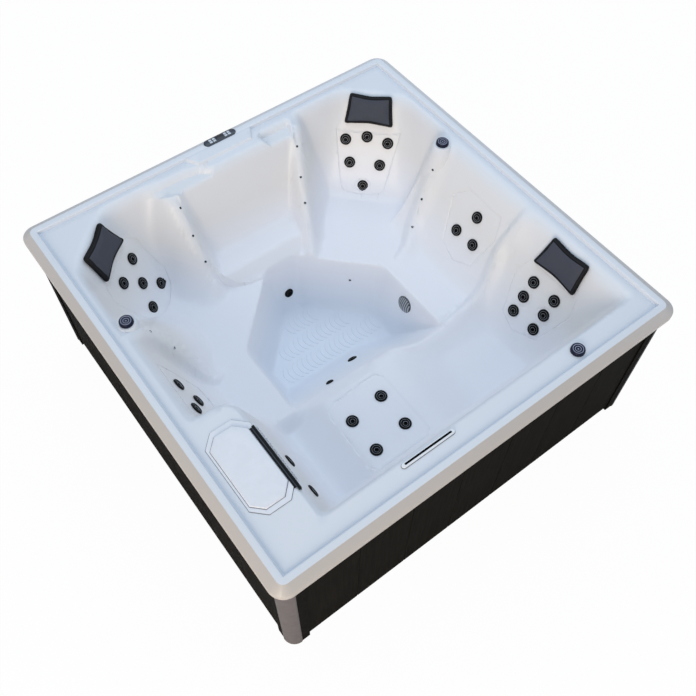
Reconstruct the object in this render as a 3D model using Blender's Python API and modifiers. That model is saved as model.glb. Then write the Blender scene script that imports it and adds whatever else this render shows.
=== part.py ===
"""Acrylic hot tub: a moulded shell with five seats and a lounger, carried by a
frame on a base pan, with cabinet panels, turning jets, valves, filter bay,
pillows and the equipment below the seats. Metres, +Z up, origin at the middle
of the underside, the long front panel at -Y and the keypad at +Y."""

import math

import bmesh
import bpy
from mathutils import Matrix, Vector

for old in list(bpy.data.objects):
    bpy.data.objects.remove(old, do_unlink=True)

# Shell, outline and rim
HALF_WIDTH = 1.065
HEIGHT = 0.850
SHELL_THICKNESS = 0.008
LIP_DEPTH = 0.050
LIP_CORNER_RADIUS = 0.070
LIP_WIDTH = 0.073
LIP_SIDE_WIDTH = 0.035
LIP_FLAT_INNER = HALF_WIDTH - LIP_WIDTH
LIP_FLAT_OUTER = HALF_WIDTH - LIP_SIDE_WIDTH
LIP_ROUND_DROP = 0.012
RECESS_DROP = 0.015
RECESS_RUN = 0.006
DECK_Z = HEIGHT - RECESS_DROP
SHELL_CELL = 0.022
SHELL_DETAIL = 0.125

# Shell, seats: levels below the lip, top edges as shares of the half width
SEAT_DROP = 0.465
COOL_SEAT_DROP = 0.395
SEAT_Z = HEIGHT - SEAT_DROP
COOL_SEAT_Z = HEIGHT - COOL_SEAT_DROP
SEAT_TILT = math.radians(32)
SIDE_TILT = math.radians(20)
LEFT_TILT = math.radians(26)
FRONT_TILT = math.radians(17)
COOL_TILT = math.radians(27)
PLATEAU_TILT = math.radians(20)
SIDE_TOP_SHARE = 0.8920
RIGHT_TOP_SHARE = 0.8732
LEFT_TOP_SHARE = 0.8732
FRONT_TOP_SHARE = 0.8357
CORNER_LEFT_TOP_SHARE = 1.0892
CORNER_RIGHT_TOP_SHARE = 1.0986
COOL_TOP_SHARE = 0.8122
SIDE_TOP = SIDE_TOP_SHARE * HALF_WIDTH
RIGHT_TOP = RIGHT_TOP_SHARE * HALF_WIDTH
LEFT_TOP = LEFT_TOP_SHARE * HALF_WIDTH
FRONT_TOP = FRONT_TOP_SHARE * HALF_WIDTH
CORNER_LEFT_TOP = CORNER_LEFT_TOP_SHARE * HALF_WIDTH
CORNER_RIGHT_TOP = CORNER_RIGHT_TOP_SHARE * HALF_WIDTH
COOL_TOP = COOL_TOP_SHARE * HALF_WIDTH
SEAT_ROUND = 0.080
EDGE_ROUND = 0.024
DECK_ROUND = 0.035

# Shell, footwell
FOOTWELL_Z = 0.075
FOOTWELL_RIM_DROP = 0.480
FOOTWELL_RIM_Z = HEIGHT - FOOTWELL_RIM_DROP
FOOTWELL_TILT = math.radians(14)
FOOTWELL_LEFT_TILT = math.radians(18)
FOOTWELL_FRONT_TILT = math.radians(38)
FOOTWELL_LEFT_SHARE = 0.4225
FOOTWELL_RIGHT_SHARE = 0.3756
FOOTWELL_BACK_SHARE = 0.4573
FOOTWELL_FRONT_SHARE = 0.2254
FOOTWELL_CORNER_LEFT_SHARE = 0.3981
FOOTWELL_CORNER_RIGHT_SHARE = 0.3709
FOOTWELL_LEFT = FOOTWELL_LEFT_SHARE * HALF_WIDTH
FOOTWELL_RIGHT = FOOTWELL_RIGHT_SHARE * HALF_WIDTH
FOOTWELL_BACK = FOOTWELL_BACK_SHARE * HALF_WIDTH
FOOTWELL_FRONT = FOOTWELL_FRONT_SHARE * HALF_WIDTH
FOOTWELL_CORNER_LEFT = FOOTWELL_CORNER_LEFT_SHARE * HALF_WIDTH
FOOTWELL_CORNER_RIGHT = FOOTWELL_CORNER_RIGHT_SHARE * HALF_WIDTH
FOOTWELL_ROUND = 0.035

# Shell, lounger along the front
LOUNGER_EDGE_SHARE = 0.2723
LOUNGER_EDGE = LOUNGER_EDGE_SHARE * HALF_WIDTH
LOUNGER_BLEND = 0.035
LOUNGER_HIP_DROP = 0.500
LOUNGER_KNEE_DROP = 0.430
LOUNGER_CALF_DROP = 0.430
LOUNGER_FOOT_DROP = 0.520

# Shell, armrests between the seats
ARM_TOP_HALF = 0.048
ARM_END_HALF = 0.016
ARM_ROUND = 0.030
ARM_TILT = math.radians(22)
ARM_SEAT_TILT = math.radians(23)
ARM_LOW_TILT = math.radians(28)
ARM_END_DROP = 0.450
ARM_END_Z = HEIGHT - ARM_END_DROP
SCOOP_DEPTH = 0.050
SCOOP_LENGTH = 0.150
SCOOP_WIDTH = 0.070

# Shell, filter bay
BAY_WIDTH = 0.136
BAY_LENGTH = 0.310
BAY_INSET = 0.203
BAY_SHARE = 0.5258
BAY_DEPTH = 0.370
BAY_X = HALF_WIDTH - BAY_INSET
BAY_Y = BAY_SHARE * HALF_WIDTH
BAY_Z = HEIGHT - BAY_DEPTH
BAY_DRAFT = 0.010
PLATEAU_ROUND = 0.110
PLATEAU_INSET = 0.320
PLATEAU_SHARE = 0.2366
PLATEAU_EDGE_X = HALF_WIDTH - PLATEAU_INSET
PLATEAU_EDGE_Y = PLATEAU_SHARE * HALF_WIDTH
WEIR_SILL_DROP = 0.125
WEIR_SILL_Z = HEIGHT - WEIR_SILL_DROP
WEIR_LENGTH = 0.286

# Jets
JET_RADIUS = 0.033
JET_LIP = 0.007
JET_BEZEL = 0.024
JET_DISH = 0.004
JET_BARREL_RADIUS = 0.021
JET_BARREL_LENGTH = 0.034
JET_SIDES = 10
HOLE_CLEARANCE = 0.0015
SEAT_GAP = 0.0003
SPOT_DEPTH = 0.0010
CUT_OVERRUN = 0.040

# Turning valves
KNOB_RADIUS = 0.034
KNOB_HEIGHT = 0.016
KNOB_DRAFT = 0.004
KNOB_DISH = 0.003
KNOB_DISH_RADIUS = 0.020
KNOB_STEM_RADIUS = 0.015
KNOB_STEM_LENGTH = 0.040
KNOB_PAD_MARGIN = 0.008
KNOB_PAD_TILT = math.radians(22)

# Cabinet
CABINET_INSET = 0.031
CABINET_HALF = HALF_WIDTH - CABINET_INSET
PANEL_THICKNESS = 0.012
PANEL_BOTTOM = 0.0275
PANEL_TOP_DROP = 0.030
PANEL_TOP = HEIGHT - PANEL_TOP_DROP
PANEL_GROOVE_DEPTH = 0.003
PANEL_GROOVE_WIDTH = 0.005
PANEL_BOARDS = 7
POST_PROUD = 0.006
POST_LEG = 0.100
POST_THICKNESS = 0.016
POST_RADIUS = 0.055
POST_TOP_GAP = 0.002
POST_RIB_HALF = 0.040
POST_RIB = 0.003
POST_ARC_STEPS = 6

# Base pan and frame
PAN_INSET = 0.019
PAN_HALF = CABINET_HALF - PAN_INSET
PAN_THICKNESS = 0.006
PAN_HEIGHT = 0.024
PAN_RIM = 0.020
CORNER_CUT = 0.030
FRAME_LIFT = 0.0007
FRAME_BAR = 0.040
FRAME_RAIL = 0.060
FRAME_STUDS = 3

# Pillows
PILLOW_WIDTH = 0.250
PILLOW_HEIGHT = 0.165
PILLOW_THICKNESS = 0.040
PILLOW_WAIST = 0.018
PILLOW_CROWN = 0.016
PILLOW_LIFT = 0.0005

# Keypad
KEYPAD_LENGTH = 0.182
KEYPAD_WIDTH = 0.044
KEYPAD_HEIGHT = 0.009
KEYPAD_X = 0.007
KEYPAD_INSET = 0.050
KEYPAD_Y = HALF_WIDTH - KEYPAD_INSET
KEYPAD_SINK = 0.003
KEYPAD_BEVEL = 0.003
KEYPAD_ARC_STEPS = 6

# Filter trim, lid, weir and cartridges
TRIM_LENGTH = 0.420
TRIM_WIDTH = 0.208
TRIM_THICKNESS = 0.004
TRIM_INSET = 0.213
TRIM_X = HALF_WIDTH - TRIM_INSET
TRIM_CUT = 0.055
LID_LENGTH = 0.366
LID_WIDTH = 0.150
LID_THICKNESS = 0.008
LID_CUT = 0.040
LID_INSET = 0.199
LID_X = HALF_WIDTH - LID_INSET
WEIR_INSET = 0.308
WEIR_X = HALF_WIDTH - WEIR_INSET
WEIR_HEIGHT = 0.090
WEIR_THICKNESS = 0.005
WEIR_PIN_RADIUS = 0.004
WEIR_END_GAP = 0.005
CARTRIDGE_RADIUS = 0.056
CARTRIDGE_LENGTH = 0.240
CARTRIDGE_NECK = 0.020
CARTRIDGE_PLEATS = 16
CARTRIDGE_PLEAT = 0.006
CARTRIDGE_PITCH = 0.160
CARTRIDGE_CAP = 0.014
CARTRIDGE_BORE = 0.022

# Suction covers and small wall fittings
SUCTION_RADIUS = 0.046
SUCTION_DOME = 0.016
SUCTION_RIM = 0.004
SUCTION_RISE_SHARE = 0.7559
RETURN_BACK_RISE_SHARE = 0.3729
RETURN_FRONT_RISE_SHARE = 0.3898
RETURN_SIDE_RISE_SHARE = 0.8475
SUCTION_PIPE_RADIUS = 0.026
SUCTION_PIPE_LENGTH = 0.030
RETURN_RADIUS = 0.026
RETURN_DOME = 0.008

# Waterfall
FALL_LENGTH = 0.268
FALL_WIDTH = 0.022
FALL_HEIGHT = 0.010
FALL_SHARE = 0.2366
FALL_INSET = 0.147
FALL_X = FALL_SHARE * HALF_WIDTH
FALL_Y = HALF_WIDTH - FALL_INSET
FALL_SLOT_LENGTH = 0.236
FALL_SLOT_WIDTH = 0.006
FALL_SLOT_DEPTH = 0.005

# Equipment under the seats
PUMP_MOTOR_RADIUS = 0.075
PUMP_MOTOR_LENGTH = 0.230
PUMP_HEAD_RADIUS = 0.095
PUMP_HEAD_LENGTH = 0.085
PUMP_PORT_RADIUS = 0.030
PUMP_PORT_LENGTH = 0.040
PUMP_FOOT_LENGTH = 0.150
PUMP_FOOT_WIDTH = 0.130
PUMP_FOOT_HEIGHT = 0.012
PUMP_SHARES = (0.5258, 0.7136)
PUMP_X, PUMP_Y = (share * HALF_WIDTH for share in PUMP_SHARES)
PUMP_CHAMFER_SHARE = 0.9
PUMP_SHOULDER_SHARE = 0.8
PUMP_TAPER_SHARE = 0.2
PUMP_SIDES = 20
PACK_LENGTH = 0.360
PACK_DEPTH = 0.150
PACK_HEIGHT = 0.220
HEATER_RADIUS = 0.034
HEATER_LENGTH = 0.460

# Places on the plan, as shares of the half width
ARM_SHARES = (
    ((-0.875, 0.250), (-0.425, 0.110)),
    ((-0.390, 0.850), (-0.225, 0.430)),
    ((0.350, 0.850), (0.115, 0.420)),
    ((0.850, 0.350), (0.400, 0.150)),
    ((0.890, -0.250), (0.380, -0.285)),
)
ARM_END_Z_SHARES = (1.0, 1.10, 1.10, 1.0, 1.0)
ARM_SIDE_TILTS = (
    (ARM_TILT, ARM_LOW_TILT),
    (ARM_SEAT_TILT, ARM_LOW_TILT),
    (ARM_SEAT_TILT, ARM_TILT),
    (ARM_LOW_TILT, ARM_SEAT_TILT),
    (ARM_SEAT_TILT, ARM_TILT),
)
LOUNGER_RIDGE_SHARES = ((0.380, -0.285), (0.030, -0.235))
SCOOP_SHARES = ((-0.285, 0.834), (0.270, 0.834))
LOUNGER_PROFILE_SHARES = (
    (-0.62, "foot"),
    (-0.50, "foot"),
    (-0.296, "calf"),
    (-0.05, "calf"),
    (0.03, "knee"),
    (0.30, "hip"),
    (0.50, "hip"),
)
LOUNGER_STEP_SHARES = (0.08, 0.24)
KNOB_SHARES = ((-0.852, 0.297), (0.834, 0.311), (0.513, -0.888))
SUCTION_SHARE = -0.045
RETURN_BACK_SHARE = 0.013
RETURN_FRONT_SHARES = (0.005, -0.20)
LOUNGER_LEVELS = {
    "foot": HEIGHT - LOUNGER_FOOT_DROP,
    "calf": HEIGHT - LOUNGER_CALF_DROP,
    "knee": HEIGHT - LOUNGER_KNEE_DROP,
    "hip": HEIGHT - LOUNGER_HIP_DROP,
}

# Backrests that carry jets: outward angle, top edge from the middle, tilt
BACKRESTS = {
    "rear_left": (135, CORNER_LEFT_TOP, SEAT_TILT),
    "rear_right": (45, CORNER_RIGHT_TOP, SEAT_TILT),
    "right": (0, RIGHT_TOP, SEAT_TILT),
    "left": (180, LEFT_TOP, LEFT_TILT),
    "foot": (180, PLATEAU_EDGE_X, PLATEAU_TILT),
}

# Jet patterns. Each row has a name and a backrest, then shares: of the half width
# along the wall to the group, of the jet pitch to its middle and between jets
JET_PITCH = 0.100
CALF_SHARES = (0.1789, 0.5181)
JET_GROUP_SHARES = (
    ("jet_rear_left", "rear_left", 0.0, (-0.06, 3.52), (1.48, 2.06),
     ((-0.5, -0.5), (0.5, -0.5), (0.0, 0.0), (-0.5, 0.5), (0.5, 0.5))),
    ("jet_rear_right", "rear_right", 0.0, (0.06, 3.66), (1.14, 1.21),
     ((1.0, -1.0), (0.0, -1.2), (-1.0, -1.0), (0.72, 0.0), (-0.72, 0.0), (0.0, 1.0))),
    ("jet_right", "right", 0.0, (-0.40, 2.66), (1.22, 1.24),
     ((0.0, -0.5), (0.5, 0.5), (-0.5, 0.5))),
    ("jet_lounger", "right", -0.5183, (0.0, 3.43), (1.38, 0.90),
     ((0.5, -1.0), (0.5, 0.0), (0.5, 1.0), (-0.5, -1.0), (-0.5, 0.0), (-0.5, 1.0))),
    ("jet_left", "left", 0.0, (0.74, 1.98), (1.44, 0.91),
     ((-0.5, -0.5), (0.5, -0.5), (0.0, 0.5))),
    ("jet_foot", "foot", 0.6009, (0.0, 2.05), (1.65, 1.0),
     ((-0.5, 0.0), (0.5, 0.0))),
    ("jet_calf", "calf", 0.0, (0.0, 0.0), (1.86, 1.78),
     ((-0.5, -0.57), (0.5, -0.43), (-0.5, 0.43), (0.5, 0.57))),
)
PILLOW_SHARES = (
    ("pillow_rear_left", "rear_left", 0.0),
    ("pillow_rear_right", "rear_right", 0.0),
    ("pillow_lounger", "right", -0.5146),
)


# Objects and materials
def make_collection(name):
    group = bpy.data.collections.new(name)
    bpy.context.scene.collection.children.link(group)
    return group


PARTS = make_collection("hot_tub")
CUTTERS = make_collection("cutters")


def make_material(name, colour, roughness, metallic=0.0):
    material = bpy.data.materials.new(name)
    material.use_nodes = True
    shader = material.node_tree.nodes["Principled BSDF"]
    shader.inputs["Base Color"].default_value = (*colour, 1.0)
    shader.inputs["Roughness"].default_value = roughness
    shader.inputs["Metallic"].default_value = metallic
    return material


ACRYLIC = make_material("white_acrylic", (0.86, 0.89, 0.93), 0.12)
CHARCOAL = make_material("charcoal_panel", (0.020, 0.018, 0.016), 0.55)
TRIM_DARK = make_material("dark_trim", (0.030, 0.028, 0.027), 0.45)
PAN_BLACK = make_material("black_abs", (0.015, 0.015, 0.015), 0.50)
STEEL = make_material("steel", (0.55, 0.56, 0.57), 0.40, 0.9)
TIMBER = make_material("treated_timber", (0.42, 0.30, 0.18), 0.70)
FOAM = make_material("grey_foam", (0.075, 0.080, 0.105), 0.60)
JET_PLASTIC = make_material("black_jet", (0.030, 0.030, 0.032), 0.30)
NAVY = make_material("navy_valve", (0.020, 0.030, 0.065), 0.25)
KEYPAD_FACE = make_material("keypad_face", (0.62, 0.64, 0.66), 0.30)
WHITE_ABS = make_material("white_abs", (0.84, 0.86, 0.88), 0.25)
GREY_ABS = make_material("grey_abs", (0.28, 0.29, 0.31), 0.40)
PAPER = make_material("filter_paper", (0.75, 0.76, 0.78), 0.85)
MOTOR = make_material("motor_black", (0.025, 0.025, 0.028), 0.45)


def add_object(name, mesh, material, matrix=None, group=None):
    item = bpy.data.objects.new(name, mesh)
    if not mesh.materials:
        mesh.materials.append(material)
    (group or PARTS).objects.link(item)
    if matrix is not None:
        item.matrix_world = matrix
    return item


def finish_bmesh(work, name):
    bmesh.ops.recalc_face_normals(work, faces=work.faces)
    mesh = bpy.data.meshes.new(name)
    work.to_mesh(mesh)
    work.free()
    return mesh


def add_box(work, low, high):
    size = [b - a for a, b in zip(low, high)]
    middle = [(a + b) / 2 for a, b in zip(low, high)]
    place = Matrix.Translation(middle) @ Matrix.Diagonal((*size, 1.0))
    bmesh.ops.create_cube(work, size=1.0, matrix=place)


def box_object(name, low, high, material, group=None):
    work = bmesh.new()
    add_box(work, low, high)
    return add_object(name, finish_bmesh(work, name), material, None, group)


def add_prism(work, outline, low, high):
    ring = [work.verts.new((x, y, low)) for x, y in outline]
    face = work.faces.new(ring)
    raised = bmesh.ops.extrude_face_region(work, geom=[face])["geom"]
    for vert in (g for g in raised if isinstance(g, bmesh.types.BMVert)):
        vert.co.z = high


def prism_object(name, outline, low, high, material, group=None):
    work = bmesh.new()
    add_prism(work, outline, low, high)
    return add_object(name, finish_bmesh(work, name), material, None, group)


def turned_object(name, profile, sides, material, matrix=None, group=None, mesh=None):
    """Profile points run from the top of the axis down the outer side."""
    if mesh is None:
        mesh = bpy.data.meshes.new(name)
        edges = [(i, i + 1) for i in range(len(profile) - 1)]
        mesh.from_pydata([(r, 0.0, z) for r, z in profile], edges, [])
    item = add_object(name, mesh, material, matrix, group)
    screw = item.modifiers.new("turn", "SCREW")
    screw.steps = sides
    screw.render_steps = sides
    screw.use_merge_vertices = True
    screw.merge_threshold = 0.0001
    screw.use_smooth_shade = True
    return item


def hide_cutter(item):
    item.hide_render = True
    item.display_type = "WIRE"
    return item


def cut(target, cutter, operation="DIFFERENCE"):
    change = target.modifiers.new("cut", "BOOLEAN")
    change.operation = operation
    change.solver = "EXACT"
    change.object = cutter


def evaluated_mesh(item):
    bpy.context.view_layer.update()
    graph = bpy.context.evaluated_depsgraph_get()
    return bpy.data.meshes.new_from_object(item.evaluated_get(graph))


def rounded_bar(length, width, steps):
    """Outline of a bar with round ends, long side along X."""
    radius = width / 2
    reach = length / 2 - radius
    points = []
    for side, start in ((1, -math.pi / 2), (-1, math.pi / 2)):
        for step in range(steps + 1):
            angle = start + math.pi * step / steps
            points.append((side * reach + radius * math.cos(angle), radius * math.sin(angle)))
    return points


def octagon(width, length, corner):
    """Outline of an octagon with four cut corners, long side along Y."""
    half, reach = width / 2, length / 2
    points = []
    for sx, sy in ((1, -1), (1, 1), (-1, 1), (-1, -1)):
        first = (sx * (half - corner), sy * reach)
        second = (sx * half, sy * (reach - corner))
        points += [first, second] if sx * sy < 0 else [second, first]
    return points


# The moulded surface
def soft_min(first, second, radius):
    overlap = max(radius - abs(first - second), 0.0) / radius
    return min(first, second) - overlap * overlap * radius / 4


def soft_max(first, second, radius):
    return -soft_min(-first, -second, radius)


def ease(value, low, high):
    share = min(max((value - low) / (high - low), 0.0), 1.0)
    return share * share * (3 - 2 * share)


def mix(low, high, share):
    return low + (high - low) * share


def rising_wall(x, y, degrees, distance, tilt, level=DECK_Z):
    angle = math.radians(degrees)
    outward = x * math.cos(angle) + y * math.sin(angle) - distance
    return level + outward / math.tan(tilt)


def arm_height(x, y, line, levels, halves, tilts):
    """Ridge with a rounded crest, as steep on each side as its tilt there."""
    start, end = (Vector(place) * HALF_WIDTH for place in line)
    run = end - start
    offset = Vector((x, y)) - start
    along = offset.dot(run) / run.length_squared
    side = (offset.y * run.x - offset.x * run.y) / run.length
    tilt = tilts[0] if side > 0 else tilts[1]
    share = min(max(along, 0.0), 1.0)
    crest = mix(*levels, share)
    crest -= max(along - 1.0, 0.0) * run.length / math.tan(ARM_TILT)
    half = mix(*halves, share)
    return crest - soft_max(abs(side) - half, 0.0, half / 2) / math.tan(tilt)


def lounger_height(x):
    places = [(share * HALF_WIDTH, LOUNGER_LEVELS[key]) for share, key in LOUNGER_PROFILE_SHARES]
    height = places[0][1]
    for (x0, z0), (x1, z1) in zip(places, places[1:]):
        if x > x0:
            height = mix(z0, z1, ease(x, x0, x1))
    return height


def seat_height(x, y):
    """Seats, backrests, armrests and the lounger, without the footwell."""
    lounger = ease(-y, LOUNGER_EDGE - LOUNGER_BLEND, LOUNGER_EDGE + LOUNGER_BLEND)
    height = mix(SEAT_Z, lounger_height(x), lounger)
    arm_left, arm_cool_left, arm_cool_right, arm_right, _ = ARM_SHARES
    left_split = arm_left[0][1] * HALF_WIDTH
    right_split = arm_right[0][1] * HALF_WIDTH
    left_wall = (SIDE_TOP, SIDE_TILT) if y > left_split else (LEFT_TOP, LEFT_TILT)
    right_wall = (SIDE_TOP, SIDE_TILT) if y > right_split else (RIGHT_TOP, SEAT_TILT)
    walls = (
        (180, *left_wall),
        (0, *right_wall),
        (90, SIDE_TOP, SIDE_TILT),
        (270, FRONT_TOP, FRONT_TILT),
        (135, CORNER_LEFT_TOP, SEAT_TILT),
        (45, CORNER_RIGHT_TOP, SEAT_TILT),
    )
    for degrees, distance, tilt in walls:
        height = soft_max(height, rising_wall(x, y, degrees, distance, tilt), SEAT_ROUND)
    # The cool-down seat is a step higher and has a backrest of its own
    low, high = arm_cool_left[0][0] * HALF_WIDTH, arm_cool_right[0][0] * HALF_WIDTH
    low_end, high_end = arm_cool_left[1][0] * HALF_WIDTH, arm_cool_right[1][0] * HALF_WIDTH
    start, end = arm_cool_left[0][1] * HALF_WIDTH, arm_cool_left[1][1] * HALF_WIDTH
    share = min(max((start - y) / (start - end), 0.0), 1.0)
    outside = max(mix(low, low_end, share) - x, x - mix(high, high_end, share), end - y, 0.0)
    step = soft_max(COOL_SEAT_Z, rising_wall(x, y, 90, COOL_TOP, COOL_TILT), SEAT_ROUND)
    step -= outside / math.tan(ARM_TILT)
    height = soft_max(height, step, EDGE_ROUND)
    # The plateau that holds the filter bay
    plateau = soft_min(
        rising_wall(x, y, 180, PLATEAU_EDGE_X, PLATEAU_TILT),
        rising_wall(x, y, 270, PLATEAU_EDGE_Y, PLATEAU_TILT),
        PLATEAU_ROUND,
    )
    height = soft_max(height, plateau, SEAT_ROUND)
    for line, end_share, tilts in zip(ARM_SHARES, ARM_END_Z_SHARES, ARM_SIDE_TILTS):
        levels = (DECK_Z, end_share * ARM_END_Z)
        arm = arm_height(x, y, line, levels, (ARM_TOP_HALF, ARM_END_HALF), tilts)
        height = soft_max(height, arm, ARM_ROUND)
    # A low ridge carries the last armrest on along the lounger's edge
    ends = (ARM_END_HALF, ARM_END_HALF)
    ridge = arm_height(x, y, LOUNGER_RIDGE_SHARES, (ARM_END_Z, ARM_END_Z), ends, (ARM_LOW_TILT, ARM_TILT))
    height = soft_max(height, ridge, ARM_ROUND)
    # A broad foot under the knobs at the armrests keeps the deck level there
    for share_x, share_y in KNOB_SHARES[:2]:
        away = math.hypot(x - share_x * HALF_WIDTH, y - share_y * HALF_WIDTH)
        fall = max(away - KNOB_RADIUS - KNOB_PAD_MARGIN, 0.0) / math.tan(KNOB_PAD_TILT)
        height = max(height, DECK_Z + DECK_ROUND - fall)
    return height


def footwell_height(x, y):
    near, far = (share * HALF_WIDTH for share in LOUNGER_STEP_SHARES)
    front = mix(FOOTWELL_FRONT, LOUNGER_EDGE, ease(x, near, far))
    height = FOOTWELL_Z
    walls = (
        (180, FOOTWELL_LEFT, FOOTWELL_LEFT_TILT),
        (0, FOOTWELL_RIGHT, FOOTWELL_TILT),
        (90, FOOTWELL_BACK, FOOTWELL_TILT),
        (270, front, FOOTWELL_FRONT_TILT),
        (135, FOOTWELL_CORNER_LEFT, FOOTWELL_TILT),
        (45, FOOTWELL_CORNER_RIGHT, FOOTWELL_TILT),
    )
    for degrees, distance, tilt in walls:
        wall = rising_wall(x, y, degrees, distance, tilt, FOOTWELL_RIM_Z)
        height = soft_max(height, wall, FOOTWELL_ROUND)
    return height


def bay_height(x, y):
    """Steep-sided well for the cartridges, open to the tub over a sill."""
    across = abs(x + BAY_X) - BAY_WIDTH / 2
    along = abs(y + BAY_Y) - BAY_LENGTH / 2
    outside = max(across, along)
    well = BAY_Z if outside <= 0 else mix(BAY_Z, HEIGHT, min(outside / BAY_DRAFT, 1.0))
    beside = abs(y + BAY_Y) < (WEIR_LENGTH + BAY_DRAFT) / 2
    in_gate = beside and -BAY_X < x < BAY_DRAFT - PLATEAU_EDGE_X
    return min(well, WEIR_SILL_Z) if in_gate else well


def surface_height(x, y):
    height = soft_min(seat_height(x, y), DECK_Z, DECK_ROUND)
    height = soft_min(height, footwell_height(x, y), EDGE_ROUND)
    for place in SCOOP_SHARES:
        across = (x - place[0] * HALF_WIDTH) / SCOOP_LENGTH
        along = (y - place[1] * HALF_WIDTH) / SCOOP_WIDTH
        height -= SCOOP_DEPTH * max(1.0 - across * across - along * along, 0.0) ** 2
    return min(height, bay_height(x, y))


def shell_lines(fixed):
    """Grid lines from rim to rim, with lines of their own at the bay's sides."""
    inner = LIP_FLAT_INNER - RECESS_RUN
    count = round(2 * inner / SHELL_CELL)
    lines = [mix(-inner, inner, step / count) for step in range(count + 1)]
    lines = [line for line in lines if min(abs(line - value) for value in fixed) > SHELL_CELL / 3]
    return sorted(lines + list(fixed))


def build_shell():
    """Rim rings outside, moulded surface inside, then one wall thickness."""
    rim = (
        (HALF_WIDTH, HEIGHT - LIP_DEPTH),
        (HALF_WIDTH, HEIGHT - LIP_DEPTH / 2),
        (HALF_WIDTH - LIP_ROUND_DROP / 3, HEIGHT - LIP_ROUND_DROP),
        (HALF_WIDTH - LIP_ROUND_DROP, HEIGHT - LIP_ROUND_DROP / 3),
        (LIP_FLAT_OUTER, HEIGHT),
        (LIP_FLAT_INNER, HEIGHT),
    )
    half_x, half_y, gate = BAY_WIDTH / 2, BAY_LENGTH / 2, WEIR_LENGTH / 2
    side = [-BAY_X + way * (half_x + draft) for way in (-1, 1) for draft in (0.0, BAY_DRAFT)]
    ends = [-BAY_Y + way * reach for way in (-1, 1) for reach in (gate, half_y, half_y + BAY_DRAFT)]
    out = [-distance for distance, _ in rim]
    back = [distance for distance, _ in reversed(rim)]
    xs = out + shell_lines(side) + back
    ys = out + shell_lines(ends) + back
    last_x, last_y = len(xs) - 1, len(ys) - 1
    work = bmesh.new()
    bmesh.ops.create_grid(work, x_segments=last_x, y_segments=last_y, size=1.0)
    for vert in work.verts:
        i = round((vert.co.x + 1) / 2 * last_x)
        j = round((vert.co.y + 1) / 2 * last_y)
        ring = min(i, j, last_x - i, last_y - j)
        x, y = xs[i], ys[j]
        z = rim[ring][1] if ring < len(rim) else surface_height(x, y)
        # Round the corners of the rim in plan
        centre = HALF_WIDTH - LIP_CORNER_RADIUS
        dx, dy = abs(x) - centre, abs(y) - centre
        if dx > 0 and dy > 0:
            scale = max(dx, dy) / math.hypot(dx, dy)
            x = math.copysign(centre + dx * scale, x)
            y = math.copysign(centre + dy * scale, y)
        vert.co = (x, y, z)
    bmesh.ops.remove_doubles(work, verts=work.verts, dist=0.0001)
    bmesh.ops.triangulate(work, faces=work.faces)
    mesh = finish_bmesh(work, "acrylic_shell")
    if sum(face.normal.z for face in mesh.polygons) < 0:
        mesh.flip_normals()
    shell = add_object("acrylic_shell", mesh, ACRYLIC)
    # The bay keeps its grid, the rest is thinned where it is plain
    plain = shell.vertex_groups.new(name="plain")
    near_x, near_y = BAY_WIDTH / 2 + 2 * SHELL_CELL, BAY_LENGTH / 2 + SHELL_CELL
    for vert in mesh.vertices:
        if abs(vert.co.x + BAY_X) > near_x or abs(vert.co.y + BAY_Y) > near_y:
            plain.add([vert.index], 1.0, "REPLACE")
    thin = shell.modifiers.new("fewer_faces", "DECIMATE")
    thin.ratio = SHELL_DETAIL
    thin.vertex_group = plain.name
    wall = shell.modifiers.new("wall", "SOLIDIFY")
    wall.thickness = SHELL_THICKNESS
    wall.offset = -1.0
    mesh.shade_smooth()
    return shell


SHELL = build_shell()


# Places on the shell
def frame_matrix(point, normal, up=Vector((0.0, 0.0, 1.0))):
    """Matrix with Z along the normal and Y as near up as it can be."""
    z_axis = normal.normalized()
    x_axis = up.cross(z_axis)
    if x_axis.length < 0.001:
        x_axis = Vector((1.0, 0.0, 0.0))
    x_axis.normalize()
    y_axis = z_axis.cross(x_axis)
    turn = Matrix((x_axis, y_axis, z_axis)).transposed().to_4x4()
    return Matrix.Translation(point) @ turn


def on_wall(degrees, distance, tilt, side, down, level=DECK_Z):
    """Frame on a tilted wall: side along it, down its slope from the top edge."""
    angle = math.radians(degrees)
    outward = Vector((math.cos(angle), math.sin(angle), 0.0))
    along = Vector((-math.sin(angle), math.cos(angle), 0.0))
    normal = Vector((0.0, 0.0, math.sin(tilt))) - outward * math.cos(tilt)
    fall = Vector((0.0, 0.0, -math.cos(tilt))) - outward * math.sin(tilt)
    top = outward * distance + Vector((0.0, 0.0, level))
    return frame_matrix(top + along * side + fall * down, normal)


def jet_frames():
    frames = []
    for name, rest, base, middle, pitch, shares in JET_GROUP_SHARES:
        for number, (side, down) in enumerate(shares, 1):
            across = base * HALF_WIDTH + JET_PITCH * (middle[0] + side * pitch[0])
            along = JET_PITCH * (middle[1] + down * pitch[1])
            if rest == "calf":
                calf_x, calf_y = (share * HALF_WIDTH for share in CALF_SHARES)
                point = Vector((-calf_x - across, -calf_y - along, LOUNGER_LEVELS["calf"]))
                place = frame_matrix(point, Vector((0.0, 0.0, 1.0)))
            else:
                degrees, distance, tilt = BACKRESTS[rest]
                place = on_wall(degrees, distance, tilt, across, along)
            frames.append(("%s_%d" % (name, number), place))
    return frames


def stepped_cutter(name, face_radius, hole_radius, hole_length, spot):
    """Spot face above a through hole; their flats clear what turns inside."""
    flats = math.cos(math.pi / JET_SIDES)
    face = (face_radius + HOLE_CLEARANCE) / flats
    hole = (hole_radius + HOLE_CLEARANCE) / flats
    profile = (
        (0.0, CUT_OVERRUN),
        (face, CUT_OVERRUN),
        (face, -spot),
        (hole, -spot),
        (hole, -hole_length),
        (0.0, -hole_length),
    )
    return hide_cutter(turned_object(name, profile, JET_SIDES, ACRYLIC, None, CUTTERS))


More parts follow.
